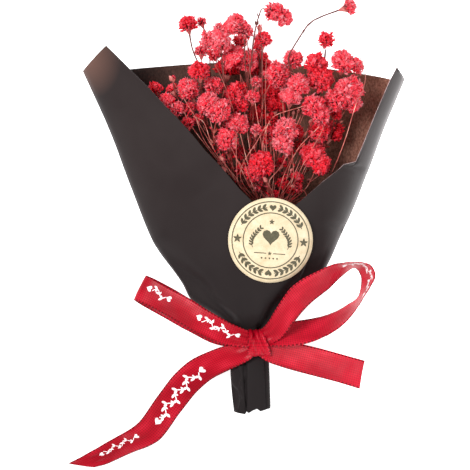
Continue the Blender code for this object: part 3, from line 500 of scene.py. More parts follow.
# %% The card
kraft = Finish("kraft_card", Roughness=0.62, Specular_IOR_Level=0.35)
flecks = kraft.noise(2600, 2, 0.6)
mottle = kraft.noise(260, 4, 0.65)
kraft.colour(kraft.mix(kraft.times(kraft.math("GREATER_THAN", flecks, 0.63), 0.35),
                       kraft.ramp(mottle, (0.3, (0.6, 0.47, 0.29)), (0.6, (0.72, 0.6, 0.41)),
                                  (0.8, (0.8, 0.7, 0.52))), (0.42, 0.27, 0.13)))
kraft.bump(mottle, 0.00004, 0.4)
bm = bmesh.new()
bmesh.ops.create_circle(bm, cap_ends=True, radius=LABEL_RADIUS, segments=96)
inner = bm.faces[:]
for _ in range(9):
    bmesh.ops.inset_individual(bm, faces=inner, thickness=LABEL_RADIUS / 10)
bmesh.ops.poke(bm, faces=inner)
lay(bm, label_surface, 0)
label = add_piece("label_card", bm, [kraft], ["sticker"])
thicken(label, 0.22)

# %% Small printed shapes
POINTS = 20                 # of each inked outline


def on_circle(radius, angle):
    """A place on a circle round the middle, at an angle from the right."""
    return radius * math.cos(angle), radius * math.sin(angle)


def ink_ring(bm, radius, width):
    """A thin ring, spun from a short line."""
    ends = [bm.verts.new((radius + side * width / 2, 0, 0)) for side in (-1, 1)]
    line = bm.edges.new(ends)
    bmesh.ops.spin(bm, geom=ends + [line], cent=(0, 0, 0), axis=(0, 0, 1), angle=2 * math.pi, steps=96,
                   use_merge=True)


def ink_shape(bm, outline, place, turn=0.0, size=1.0):
    """A filled outline, from a function of the share round it, with a vertex in its middle."""
    made = bmesh.ops.create_circle(bm, cap_ends=True, radius=1, segments=POINTS)
    for i, vert in enumerate(made["verts"]):
        vert.co = Vector((*outline(i / POINTS), 0))
    face = made["verts"][0].link_faces[0]
    bmesh.ops.poke(bm, faces=[face])
    verts = list({vert for face in made["verts"][0].link_faces for vert in face.verts} | set(made["verts"]))
    bmesh.ops.transform(bm, verts=verts, matrix=Matrix.Translation((*place, 0))
                        @ Matrix.Rotation(turn, 4, "Z") @ Matrix.Scale(size, 4))


def star(share):
    reach = (1.0, 0.64, 0.42, 0.64)[round(share * POINTS) % 4]
    return on_circle(reach, 2 * math.pi * share + math.pi / 2)


def heart(share):
    angle = 2 * math.pi * share
    x = math.sin(angle) ** 3
    y = (13 * math.cos(angle) - 5 * math.cos(2 * angle) - 2 * math.cos(3 * angle) - math.cos(4 * angle)) / 16
    return x, y


def leaf(share):
    angle = 2 * math.pi * share
    return 0.5 * (1 - math.cos(angle)), 0.24 * math.sin(angle) * (0.6 + 0.4 * math.sin(angle) ** 2)


def dot(share):
    return on_circle(0.35, 2 * math.pi * share)


def ink_line(bm, route, width):
    """A thin line along a route of points."""
    for vert in flat_grid(bm, len(route) - 1, 1):
        i = round((vert.co.x + 0.5) * (len(route) - 1))
        along = (Vector(route[min(i + 1, len(route) - 1)]) - Vector(route[max(i - 1, 0)])).normalized()
        vert.co = Vector((*route[i], 0)) + Vector((-along.y, along.x, 0)) * (width * vert.co.y)


# %% Print the label
LAUREL = 13.6               # radius of the arcs that carry the leaves
bm = bmesh.new()
ink_ring(bm, 15.9, 0.42)
ink_ring(bm, 11.3, 0.4)
for side in (1, -1):
    for start, stop in ((24, 80), (100, 156)):
        arc = np.radians(np.linspace(start, stop, 15) * side)
        ink_line(bm, [on_circle(LAUREL, angle) for angle in arc], 0.28)
    for degrees in (*range(27, 75, 9), *range(108, 154, 9)):
        angle = math.radians(degrees)
        forward = math.copysign(math.pi / 2, 90 - degrees)
        for lean in (-0.62, 0.62):
            ink_shape(bm, leaf, on_circle(LAUREL, angle * side), (angle + forward + lean) * side, 2.35)
    ink_shape(bm, heart, (0, 13.5 * side), 0 if side > 0 else math.pi, 1.45)
    ink_shape(bm, star, (13.7 * side, 0), 0, 1.9)
ink_shape(bm, heart, (0, 1.6), 0, 3.5)
for side in (1, -1):
    sprig = [(side * (4.6 + 3.2 * math.sin(t)), 4.6 - 3.6 * t) for t in np.linspace(0, 2.2, 9)]
    ink_line(bm, sprig, 0.26)
    for (x, y), (after_x, after_y) in zip(sprig[:-1], sprig[1:]):
        heading = math.atan2(y - after_y, x - after_x)
        for lean in (-0.7, 0.7):
            ink_shape(bm, leaf, (x, y), heading + lean, 1.5)
    ink_line(bm, [(side * x, -5.4) for x in np.linspace(1.4, 6.4, 6)], 0.34)
for x in (-3.2, -1.6, 0, 1.6, 3.2):
    ink_shape(bm, dot, (x, -7.4))
ink_shape(bm, star, (0, -5.4), 0, 0.9)
ink_shape(bm, star, (0, 7.6), 0, 1.2)
face_outwards(bm)
lay(bm, label_surface, 0.15)
ink = Finish("olive_ink", Roughness=0.55)
ink.colour(ink.ramp(ink.noise(900, 3), (0.3, (0.055, 0.047, 0.02)), (0.75, (0.1, 0.085, 0.045))))
print_on_label = add_piece("label_print", bm, [ink], smooth=False)
thicken(print_on_label, 0.05)
print("label printed")

# %% [markdown]
# ## The satin ribbon
# One length of satin goes round the neck and is tied in a bow. Each stretch of it is a strip between
# two edges that are given at a few stations. Where the strip is pulled narrow, at the knot, the cloth
# has to go somewhere, so the strip folds into pleats that grow deeper the narrower it is pulled.

# %% A strip of ribbon
RIBBON_WIDTH = 12.0
SATIN = 0.25
LOWEST = 0.4                # the lowest that the middle of the cloth comes to the floor
PULLED = 1.25               # how many times too narrow a strip has to be before it folds into pleats
LEFT_LOOP = ((1.0, -38.5, 15.4, -0.5, -45.0, 15.0), (-7, -35.2, 16.9, -10.5, -43.8, 14.6),
             (-16.7, -29.8, 16.4, -21.1, -39.6, 14.4), (-24.6, -24.8, 14.8, -29.6, -34.6, 12.6),
             (-34.2, -19.8, 11.2, -39.2, -29.3, 9.8), (-41.4, -15.8, 8.8, -46.6, -26.0, 7.6),
             (-43.6, -14.8, 6.6, -48.9, -25.2, 5.4), (-41.2, -15.8, 4.4, -46.4, -26.9, 3.4),
             (-31.5, -20.8, 6.8, -36.4, -32.4, 5.2), (-21.6, -26.8, 13.2, -25.2, -38.4, 9.4),
             (-9, -35.0, 15.2, -12.4, -43.9, 12.6), (1.0, -38.8, 14.6, -0.5, -45.2, 13.6))
RIGHT_LOOP = ((3.5, -38.2, 15.4, 4.6, -45.4, 14.8), (7.2, -34.4, 18.6, 12.4, -41.6, 14.6),
              (11.4, -27.4, 22.8, 17.8, -34.6, 16.4), (17.2, -19.2, 25.4, 23.8, -27.6, 18.4),
              (27.2, -13.0, 25.0, 32.2, -20.6, 16.6), (35.6, -9.4, 23.4, 38.6, -15.0, 13.4),
              (43.0, -8.6, 22.2, 43.6, -11.4, 10.8), (49.6, -9.8, 20.6, 46.0, -13.2, 9.8),
              (52.2, -14.5, 19.0, 47.0, -17.0, 8.6), (50.3, -19.6, 17.2, 46.6, -21.0, 6.2),
              (47.4, -24.6, 15.6, 45.5, -24.3, 4.2), (43.8, -30.2, 14.2, 40.6, -27.8, 3.4),
              (38.8, -35.6, 13.4, 35.6, -30.6, 3.4), (31.6, -40.6, 13.2, 29.6, -32.6, 4.6),
              (22.6, -43.6, 13.6, 20.6, -33.8, 7.0), (13.2, -44.6, 14.8, 13.4, -34.8, 11.0),
              (3.4, -44.4, 15.2, 4.0, -39.4, 14.0))
RIGHT_TAIL = ((3.0, -39.6, 15.0, 1.6, -46.6, 14.8), (9.6, -41.0, 14.2, 7.0, -50.6, 14.4),
              (16.7, -42.4, 11.6, 14.2, -53.4, 11.4), (29.2, -45.4, 6.8, 26.3, -56.9, 6.6),
              (39.6, -48.3, 3.0, 36.7, -59.8, 2.8), (48.4, -50.8, 0.9, 46.3, -62.8, 0.9))
LEFT_TAIL = ((1.4, -39.4, 15.2, 4.4, -45.4, 14.8), (-5.2, -42.6, 14.8, 0.0, -49.8, 14.6),
             (-14.6, -45.6, 12.8, -8.2, -54.2, 10.8), (-24.0, -49.8, 9.0, -15.4, -58.0, 7.6),
             (-31.4, -56.0, 6.2, -22.0, -63.6, 5.2), (-39.0, -65.8, 4.2, -29.2, -72.6, 3.4),
             (-47.4, -77.2, 3.6, -38.8, -84.8, 1.6), (-56.0, -82.8, 6.8, -49.6, -89.9, 0.9),
             (-63.6, -87.2, 5.4, -57.8, -93.6, 0.9), (-71.2, -91.4, 2.0, -62.4, -95.0, 0.9),
             (-76.6, -94.2, 0.9, -65.6, -95.8, 0.9))


class Strip:
    """A strip of ribbon through its stations, measured along its middle in millimetres."""

    def __init__(self, stations, seed):
        edges = curves(stations)
        marks = np.linspace(0, len(stations) - 1, 40 * len(stations))
        table = np.array([[edge(mark) for edge in edges] for mark in marks])
        self.one, self.two = table[:, :3], table[:, 3:]
        middle = (self.one + self.two) / 2
        steps = np.linalg.norm(np.diff(middle, axis=0), axis=1)
        self.places = np.concatenate([[0], np.cumsum(steps)])
        self.length = self.places[-1]
        along = np.gradient(middle, axis=0)
        across = self.two - self.one
        self.width = np.linalg.norm(across, axis=1)
        self.out = np.cross(across, along)
        self.out /= np.linalg.norm(self.out, axis=1)[:, None]
        self.seed = seed

    def at(self, values, place):
        """A row of a table at a place along the strip."""
        place = min(max(place, 0.0), self.length)
        i = min(max(int(np.searchsorted(self.places, place)) - 1, 0), len(self.places) - 2)
        share = (place - self.places[i]) / (self.places[i + 1] - self.places[i])
        return values[i] + (values[i + 1] - values[i]) * share

    def point(self, place, across):
        """A point of the strip, from the place along it and the distance from its middle."""
        share = across / RIBBON_WIDTH
        one, two = self.at(self.one, place), self.at(self.two, place)
        width = float(self.at(self.width, place))
        pull = max(RIBBON_WIDTH / width, PULLED) - PULLED
        pleats = min(0.9, width / (math.pi * 2.5) * math.sqrt(pull) * 0.8)
        rise = pleats * math.sin(share * 5 * math.pi + self.seed)
        rise += 0.35 * (4 * share * share - 0.33)
        rise += 0.6 * noise.noise(Vector((place * 0.07, across * 0.08, self.seed * 7.0)))
        rise += 0.16 * noise.noise(Vector((place * 0.3, across * 0.2, self.seed * 3.0)))
        spot = one + (two - one) * (share + 0.5) + self.at(self.out, place) * rise
        return Vector((spot[0], spot[1], max(spot[2], LOWEST)))


def weave_strip(bm, strip, step=0.9, across=14):
    """Adds a strip as a grid with its UV map in ribbon widths."""
    rows = max(8, round(strip.length / step))
    verts = flat_grid(bm, rows, across, calc_uvs=True)
    uv = bm.loops.layers.uv.verify()
    for vert in verts:
        place, side = (vert.co.x + 0.5) * strip.length, vert.co.y * RIBBON_WIDTH
        for loop in vert.link_loops:
            loop[uv].uv = (side / RIBBON_WIDTH + 0.5, place / RIBBON_WIDTH)
        vert.co = strip.point(place, side) * MM


# %% The band round the neck
BAND_EDGES = (-47.2, -39.0)


def band_station(place, share):
    """The two edges of the band at one place round the neck."""
    station = []
    for y in BAND_EDGES:
        spot = cone_point(place, share, y)
        if place == "left":
            spot.z = crown_height(share, y) + LAYER * ease((1 - abs(share)) / 0.5)
        out = Vector((spot.x - span(y)[0],
                      (spot.z - lift(y) - SOLID_PAPER / 2 - fold_height(y)) * 1.3)).normalized()
        station += [spot.x + out.x * 0.9, y, spot.z + out.y * 0.9]
    return station


around = [("left", share) for share in np.linspace(0.92, -0.92, 15)]
around += [("back", share) for share in (-1, -0.95, -0.87, -0.7, -0.4, 0, 0.4, 0.7, 0.87, 0.95, 1)]
band = [band_station(place, share) for place, share in around]
band.append(band[0])
strips = {"band": Strip(band, 1), "left_loop": Strip(LEFT_LOOP, 2), "right_loop": Strip(RIGHT_LOOP, 3),
          "left_tail": Strip(LEFT_TAIL, 4), "right_tail": Strip(RIGHT_TAIL, 5)}
bm = bmesh.new()
for name, strip in strips.items():
    weave_strip(bm, strip)
    print(name, round(strip.length, 1), "mm")

# %% [markdown]
# ## The knot
# The knot is the ribbon itself, passed once over the crossing. It is a short grid that arches from
# above the crossing to below it and widens on the way, so that its creases spread like a fan. Two of
# them are deep: they are where the cloth is folded on itself.

# %% The knot
KNOT_MIDDLE = (-42.9, 12.4)                     # y, z
KNOT_REACH = (5.6, 5.2)
KNOT_LEFT = curve(((-49, -1.2), (-43, -0.9), (-37, -0.6)))
KNOT_RIGHT = curve(((-49, 9.2), (-43, 7.4), (-37, 5.0)))
KNOT_FOLDS = ((-0.62, 0.5, 0.13, 0.9), (0.02, -0.45, 0.12, 0.8), (0.55, -0.2, 0.16, 0.5))
verts = flat_grid(bm, 60, 40, calc_uvs=True)
uv = bm.loops.layers.uv.verify()
for vert in verts:
    turn = vert.co.x * math.radians(250)
    side = vert.co.y * 2
    for loop in vert.link_loops:
        loop[uv].uv = (side / 2 + 0.5, turn * 0.45)
    arch_y = math.copysign(abs(math.sin(turn)) ** 0.75, math.sin(turn))
    arch_z = math.copysign(abs(math.cos(turn)) ** 0.75, math.cos(turn))
    crease = 0.22 * math.sin(side * 9 + 1.2 * arch_y) + 0.35 * noise.noise(Vector((side * 1.8, turn, 4.0)))
    for place, slant, width, depth in KNOT_FOLDS:
        crease -= depth * bump(side, place + slant * arch_y, width)
    shoulder = 1.3 * (1 - abs(side) ** 3)
    y = KNOT_MIDDLE[0] + arch_y * (KNOT_REACH[0] + 0.4 * crease)
    x = KNOT_LEFT(y) + (KNOT_RIGHT(y) - KNOT_LEFT(y)) * (side + 1) / 2
    z = KNOT_MIDDLE[1] + arch_z * (KNOT_REACH[1] - 1.2 + shoulder + crease)
    vert.co = Vector((x, y, max(z, over_paper(x, y, 0.45)))) * MM

# %% [markdown]
# Satin has a smooth float of threads, so it shines in long soft patches, which are also painted into
# its red as lighter and darker streaks. A fine dotted weave and two selvedges with tiny loops are drawn
# on the ribbon's own UV map, which measures along the ribbon. Painted shade deepens the red in the loop
# and tail on the left, and painted light makes it paler on the right.

# %% The satin finish
THREADS, TICKS = 1.9, 1.6           # how far apart the dots of the weave and the loops of the edge are
satin = Finish("red_satin", Specular_IOR_Level=0.14)
parts = satin.node("SeparateXYZ", {"Vector": satin.node("TexCoord").outputs["UV"]}).outputs
across_mm, along_mm = (satin.times(parts[axis], RIBBON_WIDTH) for axis in "XY")
waves = (satin.times(satin.math(way, across_mm, along_mm), 2 * math.pi / THREADS)
         for way in ("ADD", "SUBTRACT"))
weave = satin.times(*(satin.math("SINE", wave) for wave in waves))
selvedge = satin.math("GREATER_THAN", satin.math("ABSOLUTE", satin.math("SUBTRACT", parts["X"], 0.5)), 0.44)
ticks = satin.math("SINE", satin.times(along_mm, 2 * math.pi / TICKS))
dark_ticks = satin.times(selvedge, satin.math("GREATER_THAN", ticks, 0.0))
stretched = satin.node("CombineXYZ", {"X": satin.times(across_mm, 0.12), "Y": satin.times(along_mm, 0.045)})
# painted shine and shade: long lighter and darker streaks along the ribbon, which are also smoother where
# they are light
shine_patches = satin.noise(1.0, 2, 0.5, stretched.outputs[0])
tone = satin.ramp(shine_patches, (0.34, (0.3, 0.0, 0.008)), (0.5, (0.45, 0.002, 0.015)), (0.66, (0.62, 0.014, 0.036)))
tone = satin.mix(satin.spread(weave, -0.1, 0.5, 0, 0.7), tone, (0.16, 0.0, 0.004))
# painted shade: the red is darkened towards the left
tone = satin.mix(satin.along("X", 0.02, -0.07, 0, 0.4), tone, (0.2, 0.0, 0.006))
# painted light: the red is made paler towards the right
tone = satin.mix(satin.along("X", 0.0, 0.05, 0, 0.3), tone, (0.8, 0.035, 0.07))
satin.colour(satin.mix(satin.times(dark_ticks, 0.8), tone, (0.09, 0.0, 0.003)))
satin.feed("Roughness", satin.spread(shine_patches, 0, 1, 0.46, 0.3))
satin.bump(weave, 0.00004, 0.5)
satin.bump(satin.times(ticks, selvedge), 0.0001, 0.6)
face_outwards(bm)
bow = add_piece("satin_bow", bm, [satin], ["ribbon"])
thicken(bow, SATIN)

# %% [markdown]
# The ribbon is printed in white with leafy vines that wind between hearts. They are flat shapes
# again, laid on the strips a hair's breadth over the satin, on whichever side is seen.

# %% Print the ribbon
VINE_PITCH = 7.0


def vine_motif(bm, start, stop, side, size):
    """A wavy stem from one place along the strip to another, with leaves and a heart at each end."""
    count = max(7, round((stop - start) / 0.6))
    route = [(start + (stop - start) * i / count,
              side + size * 1.5 * math.sin(2 * math.pi * (stop - start) * i / count / VINE_PITCH / size))
             for i in range(count + 1)]
    ink_line(bm, route, 0.42 * size)
    for i in range(2, count - 1, 3):
        (x, y), (after_x, after_y) = route[i], route[i + 1]
        heading = math.atan2(after_y - y, after_x - x)
        for lean in (0.8, -0.8):
            ink_shape(bm, leaf, (x, y), heading + lean, (2.2 if (lean > 0) == (y > side) else 1.6) * size)
    for place in (start - 1.7 * size, stop + 1.7 * size):
        ink_shape(bm, heart, (place, side), math.pi / 2, 1.5 * size)


PRINTS = {"left_tail": (((29, 55, 0.2, 1.05), (69, 83, -1.5, 0.75)), 0.17),
          "left_loop": (((7.5, 22, -1.2, 0.95), (40.5, 47, -1.5, 0.9)), 0.17),
          "right_loop": (((51, 70, -1.5, 0.95),), -0.17)}
white = Finish("white_print", Roughness=0.5)
white.colour(white.ramp(white.noise(1200, 2), (0.3, (0.75, 0.6, 0.62)), (0.6, (0.92, 0.86, 0.87))))
for name, (vines, lift_off) in PRINTS.items():
    flat = bmesh.new()
    for vine in vines:
        vine_motif(flat, *vine)
    face_outwards(flat)
    lay(flat, strips[name].point, lift_off)
    printed = add_piece("print_" + name, flat, [white], smooth=False)
    thicken(printed, 0.05)

# %% [markdown]
# ## The blooms
# Each floret is a tight pompon of thin, crinkled petals that all grow from a small cup on the end of
# its stalk. Sculpting one ball with bumps would look like clay. So a few petals are made flat,
# ruffled, bent back at the tip and given their thickness, and every bloom is grown from
# turned and stretched copies of them.

# %% Read where the blooms and their stalks are
bloom_names = sorted(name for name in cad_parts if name.startswith("bloom_"))
spray_names = sorted(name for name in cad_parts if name.startswith("spray_"))
stem_points = np.array([tuple(vert.co) for name in spray_names
                        for vert in bpy.data.objects[name].data.vertices]) / MM
print(len(bloom_names), "blooms on", len(spray_names), "sprays")


# %% [markdown]
# Gypsophila flowers sit close together, so that many heads are really two or three florets. The
# solids fuse those into one, and this table tells them apart again: the radius of each floret and
# its place beside the first one. A floret that has a solid of its own fills its box.

# %% Tell the florets of one solid apart
TIP_REACH = 1.1          # how far the petal tips stand out, as a share of the radii below
CLUSTERS = {2: ((3.9, 0, 0, 0), (3.6, 4, -2.5, -1)), 6: ((4.4, 0, 0, 0), (3.6, 4, -2.5, -1)),
            8: ((4.6, 0, 0, 0), (3.4, -5, 0.5, -1)), 12: ((5, 0, 0, 0), (4.4, 5.5, -0.5, -1)),
            14: ((4.2, 0, 0, 0), (3.6, -0.5, -4, 0)), 21: ((4.2, 0, 0, 0), (3.4, 4, -2, 1)),
            23: ((4.8, 0, 0, 0), (4.6, 4, -3, 1)), 24: ((4.4, 0, 0, 0), (3.6, 1.5, -5.5, 1)),
            27: ((4.8, 0, 0, 0), (3.4, 2, -3.5, -1.5)), 28: ((5.2, 0, 0, 0), (4.2, 1.5, -5, 1)),
            29: ((4.4, 0, 0, 0), (4.2, -3.5, -5, 0)), 31: ((4.4, 0, 0, 0), (5, 2, -6, 0)),
            32: ((4.8, 0, 0, 0), (3.4, 5.5, -1.5, -1)),
            33: ((5.4, 0, 0, 0), (4.6, -5.5, -4, -1), (3.8, 2, -5.5, -2)),
            35: ((4.4, 0, 0, 0), (3.8, 3, -4, -1)), 37: ((4.4, 0, 0, 0), (4.6, -4, -6, 0)),
            40: ((4.6, 0, 0, 0), (4.2, -1, -6, 0)), 42: ((4.8, 0, 0, 0), (4.2, 3.5, -4.5, 0)),
            43: ((4.8, 0, 0, 0), (3.8, -3.5, -4, -1)), 46: ((2.8, 0, 0, 0), (2.4, 0.5, -3.7, 0))}


def florets_of(name):
    """Each floret of a bloom as its middle, radius and axis, and the end of the stalk it sits on."""
    low, high = (np.array(corner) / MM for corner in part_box(name))
    middle, radius = (low + high) / 2, float(np.mean(high - low)) / 2
    balls = [(middle, radius)]
    if int(name[-2:]) in CLUSTERS:
        balls = [(np.array(spot), size * TIP_REACH) for size, *spot in CLUSTERS[int(name[-2:])]]
        least = np.min([spot - size for spot, size in balls], axis=0)
        most = np.max([spot + size for spot, size in balls], axis=0)
        balls = [(spot + middle - (least + most) / 2, size) for spot, size in balls]
    near = [np.linalg.norm(stem_points - spot, axis=1) - size for spot, size in balls]
    carried = int(np.argmin([far.min() for far in near]))
    foot = stem_points[np.argsort(near[carried])[:4]].mean(axis=0)
    return [(Vector(spot), size, (Vector(spot) - Vector(foot)).normalized(),
             Vector(foot) if i == carried else None) for i, (spot, size) in enumerate(balls)]


# %% Make a few petals
PETAL_KINDS = 14


def make_petal(seed):
    """A narrow crinkled petal that arches from its foot to its tip at (0, 1, 0), with its back to +Z."""
    chance = random.Random(seed)
    bend = chance.uniform(0.7, 2.2)
    broad = chance.uniform(0.055, 0.105)
    fold = chance.uniform(-0.05, 0.16)
    bm = bmesh.new()
    for vert in flat_grid(bm, 2, 2):
        side, along = vert.co.x * 2, (vert.co.y + 0.5) ** 0.5
        notch = chance.uniform(-0.24, -0.08) * (1 - abs(side)) if along > 0.9 else 0
        width = broad * (0.3 + 0.7 * along) * chance.uniform(0.85, 1.15)
        length = along * (1 - 0.06 * side * side) + notch + chance.uniform(-0.04, 0.04) * along
        ruffle = chance.uniform(-0.08, 0.08) * along - fold * abs(side) * along
        bent = bend * length
        vert.co = Vector((side * width, math.sin(bent) / bend, (math.cos(bent) - 1) / bend))
        vert.co += Vector((0, math.sin(bent), math.cos(bent))) * ruffle
    upright = Matrix.Rotation(bend / 2, 4, "X") @ Matrix.Scale(bend / 2 / math.sin(bend / 2), 4)
    bmesh.ops.transform(bm, verts=bm.verts, matrix=upright)
    bmesh.ops.solidify(bm, geom=bm.faces[:], thickness=0.02)
    face_outwards(bm)
    reach = bm.verts.layers.float.new("reach")
    far = max(vert.co.length for vert in bm.verts)
    for vert in bm.verts:
        vert[reach] = vert.co.length / far
    return as_mesh("petal", bm)


petals = [make_petal(seed) for seed in range(PETAL_KINDS)]
print("petal:", len(petals[0].polygons), "faces")

# %% Grow a bloom
GOLDEN = math.pi * (3 - math.sqrt(5))
OPENED = (1.0, 1.3, 1.5, 1.6, 1.7, 1.8)     # 1 is half a ball of petals, and 2 would be a whole one
CUP_SINK = 0.6              # how far a cup reaches down over the end of its stalk
SET_BACK = 0.1              # petals reach further ahead than back, so their middle lies behind the solid's


def petal_bmesh():
    """An empty bmesh with the two values that every petal carries."""
    bm = bmesh.new()
    for layer in ("reach", "shade"):
        bm.verts.layers.float.new(layer)
    return bm


def place_petal(bm, petal, foot, tip, facing, stretch, shade_value):
    """Adds a copy of a petal from its foot to its tip, with its face turned to one side."""
    before = len(bm.verts)
    bm.from_mesh(petal)
    bm.verts.ensure_lookup_table()
    verts = bm.verts[before:]
    along = tip - foot
    length = along.length
    along.normalize()
    across = along.cross(facing).normalized()
    face = across.cross(along)
    put(bm, verts, foot, Matrix((across, along, face)).transposed(), stretch * length, length, length)
    shade = bm.verts.layers.float["shade"]
    for vert in verts:
        vert[shade] = shade_value


def rib(spot, hollow):
    """The girth of a ribbed cup or bud at a place round it: 1 on a rib, and less between them."""
    return 1.0 if round(math.atan2(spot.y, spot.x) / (math.pi / 5)) % 2 else hollow


def cup(bm, foot, middle, radius, opened, shade_value):
    """The ribbed green-pink cup that holds the petals, and shows most under a half-open floret."""
    axis = (middle - foot).normalized()
    foot = foot - axis * CUP_SINK
    depth = (middle - foot).length - (0.03 + 0.27 * opened) * radius
    made = bmesh.ops.create_cone(bm, cap_ends=True, segments=10, radius1=0.1 * radius,
                                 radius2=0.62 * depth, depth=depth)
    reach, shade = bm.verts.layers.float["reach"], bm.verts.layers.float["shade"]
    for vert in made["verts"]:
        girth = rib(vert.co, 0.78)
        vert.co = Vector((vert.co.x * girth, vert.co.y * girth, vert.co.z))
        vert[reach] = -1.0 if vert.co.z < 0 else 0.0
        vert[shade] = shade_value
    put(bm, made["verts"], foot + axis * (0.49 * depth), axis.to_track_quat("Z", "Y").to_matrix())
    for face in faces_of(made["verts"]):
        face.material_index = 1


def grow_floret(bm, chance, middle, radius, axis, opened):
    """A pompon of petals round its middle, more or less open and never quite round."""
    lean = Vector((chance.uniform(-0.4, 0.4), chance.uniform(-0.3, 0.3), chance.uniform(0.2, 1.1)))
    crown_axis = (axis + lean * (opened - 0.9)).normalized()
    turn = crown_axis.to_track_quat("Z", "Y").to_matrix()
    foot = middle - axis * ((1.1 - 0.35 * opened) * radius)
    centre = middle - axis * (SET_BACK * radius)
    count = int(min(500, max(80, 16 * radius ** 2)))
    lumps = anywhere(chance, 0, 50)
    faded = chance.choice((0.0, 0.05, 0.2, 0.4))
    for k in range(count):
        polar = math.acos(1 - (k + 0.5) / count * opened)
        spin = k * GOLDEN + chance.uniform(-0.25, 0.25)
        way = turn @ Vector((*on_circle(math.sin(polar), spin), math.cos(polar)))
        far = radius * chance.choice((0.82, 0.93, 1.0, 1.05, 1.09)) * chance.uniform(0.95, 1.05)
        far *= 1 + 0.3 * noise.noise(way * 1.7 + lumps)
        tip = centre + way * far
        start = foot + way * (0.12 * radius)
        upright = crown_axis - way * crown_axis.dot(way)
        facing = upright + anywhere(chance, -1.2, 1.2)
        if polar < 0.6:
            facing = anywhere(chance)
        facing = (facing - way * facing.dot(way)).normalized()
        place_petal(bm, petals[chance.randrange(PETAL_KINDS)], start, tip, facing,
                    chance.uniform(0.75, 1.1), faded + (1 - faded) * chance.random())


# %% [markdown]
# Each petal is painted deepest at its foot, as painted shade where the petals crowd together, and
# dries out to pale flecks at its thin tip. Each petal carries two values for this: how far a point is
# from its foot, and a chance shade.

# %% Petal finishes
def petal_finish(name, deep, middle, pale, edge):
    """A dyed petal that pales towards its edge."""
    made = Finish("dyed_" + name, Roughness=0.6, Specular_IOR_Level=0.08, Subsurface_Weight=0.25,
                  Subsurface_Scale=0.0015, Subsurface_Radius=(1.0, 0.2, 0.25))
    reach = made.node("Attribute", attribute_name="reach").outputs["Fac"]
    shade = made.node("Attribute", attribute_name="shade").outputs["Fac"]
    # painted shade: each petal is deep at its foot, where the petals crowd together
    tone = made.ramp(reach, (0.5, deep), (0.8, middle), (1.0, pale))
    tone = made.mix(made.times(made.math("POWER", shade, 4.0), 0.65), tone, edge)
    dry = made.spread(made.noise(1500, 2), 0.55, 0.68)
    tip = made.spread(reach, 0.75, 1.0, 0, 0.75)
    tone = made.mix(made.times(dry, tip), tone, edge)
    dark = made.times(made.math("SUBTRACT", 1.0, made.noise(900, 3)), 0.3)
    made.colour(made.mix(dark, tone, deep))
    made.bump(made.noise(3200, 2), 0.00004, 0.5)
    return made


# petal_deep is partly a deeper red and partly painted shade: a darker copy of the petal colour for florets
# that sit deep in the bouquet
DYES = {"petal_red": ((0.2, 0.0, 0.002), (0.82, 0.004, 0.015), (1.0, 0.024, 0.045), (1.0, 0.2, 0.25)),
        "petal_light": ((0.3, 0.001, 0.005), (0.92, 0.014, 0.034), (1.0, 0.07, 0.105), (1.0, 0.45, 0.5)),
        "petal_deep": ((0.12, 0.0, 0.001), (0.58, 0.001, 0.006), (0.86, 0.01, 0.02), (1.0, 0.08, 0.12))}
petal_finishes = {name: petal_finish(name, *tones) for name, tones in DYES.items()}
cup_finish = Finish("calyx", Roughness=0.6)
cup_finish.colour(cup_finish.ramp(cup_finish.noise(700, 3), (0.3, (0.33, 0.04, 0.04)),
                                  (0.7, (0.62, 0.2, 0.17))))

# %% Dress every bloom
faces = 0
for name in bloom_names:
    slot = bpy.data.objects[name].data.materials[0].name
    bm = petal_bmesh()
    chance = random.Random(int(name[-2:]) * 31)
    florets = [(*floret, chance.choice(OPENED)) for floret in florets_of(name)]
    for middle, radius, axis, _, opened in florets:
        grow_floret(bm, chance, middle, radius, axis, opened)
    for middle, radius, _, foot, opened in florets:
        if foot:
            cup(bm, foot, middle, radius, opened, chance.random())
    faces += len(bm.faces)
    add_piece("floret_" + name[-2:], bm, (petal_finishes[slot], cup_finish), [name])
print("blooms:", faces, "faces")

# %% [markdown]
# ## The stems
# The solids give each spray as square tubes. A merged copy with a subdivision surface turns them into
# slim round stems in the same place. Where stems fork, gypsophila has a pair of small pointed bracts.
# The stems at the back get a darker copy of the stem colour as painted shade, and the fine ones in front keep
# the pale stem colour.

# %% Stem finish
def stem_material(name, deep, middle, pale, foot):
    """A dry stem in three tones, darker towards the top, with painted shade towards its lower end."""
    made = Finish(name, Roughness=0.55, Specular_IOR_Level=0.12)
    streaks = made.noise(500, 4, 0.6, stretch=(1.0, 0.15, 1.0))
    tone = made.ramp(streaks, (0.34, deep), (0.52, middle), (0.7, pale))
    tone = made.mix(made.along("Y", 0.055, 0.08), tone, (0.13, 0.045, 0.04))
    # painted shade: the stems darken towards their lower ends, deep in the cone
    made.colour(made.mix(made.along("Y", 0.04, 0.015, 0, 0.85), tone, foot))
    made.bump(streaks, 0.00008, 0.6)
    return made


# the stems of the sprays take a darker copy of the stem colour as painted shade
shaded_stem_finish = stem_material("dry_stem", (0.05, 0.003, 0.003), (0.2, 0.018, 0.016), (0.52, 0.15, 0.12),
                            (0.035, 0.004, 0.003))
twig_finish = stem_material("pale_stem", (0.3, 0.03, 0.03), (0.58, 0.15, 0.125), (0.85, 0.46, 0.37),
                            (0.15, 0.014, 0.012))

# %% Bracts and round stems
STEM_SLIMMED = 0.04         # the solid stems are kept thicker than real ones, so that they can be made
END_SIZE = 1.0              # faces up to this size close the ends, and creases keep those from shrinking


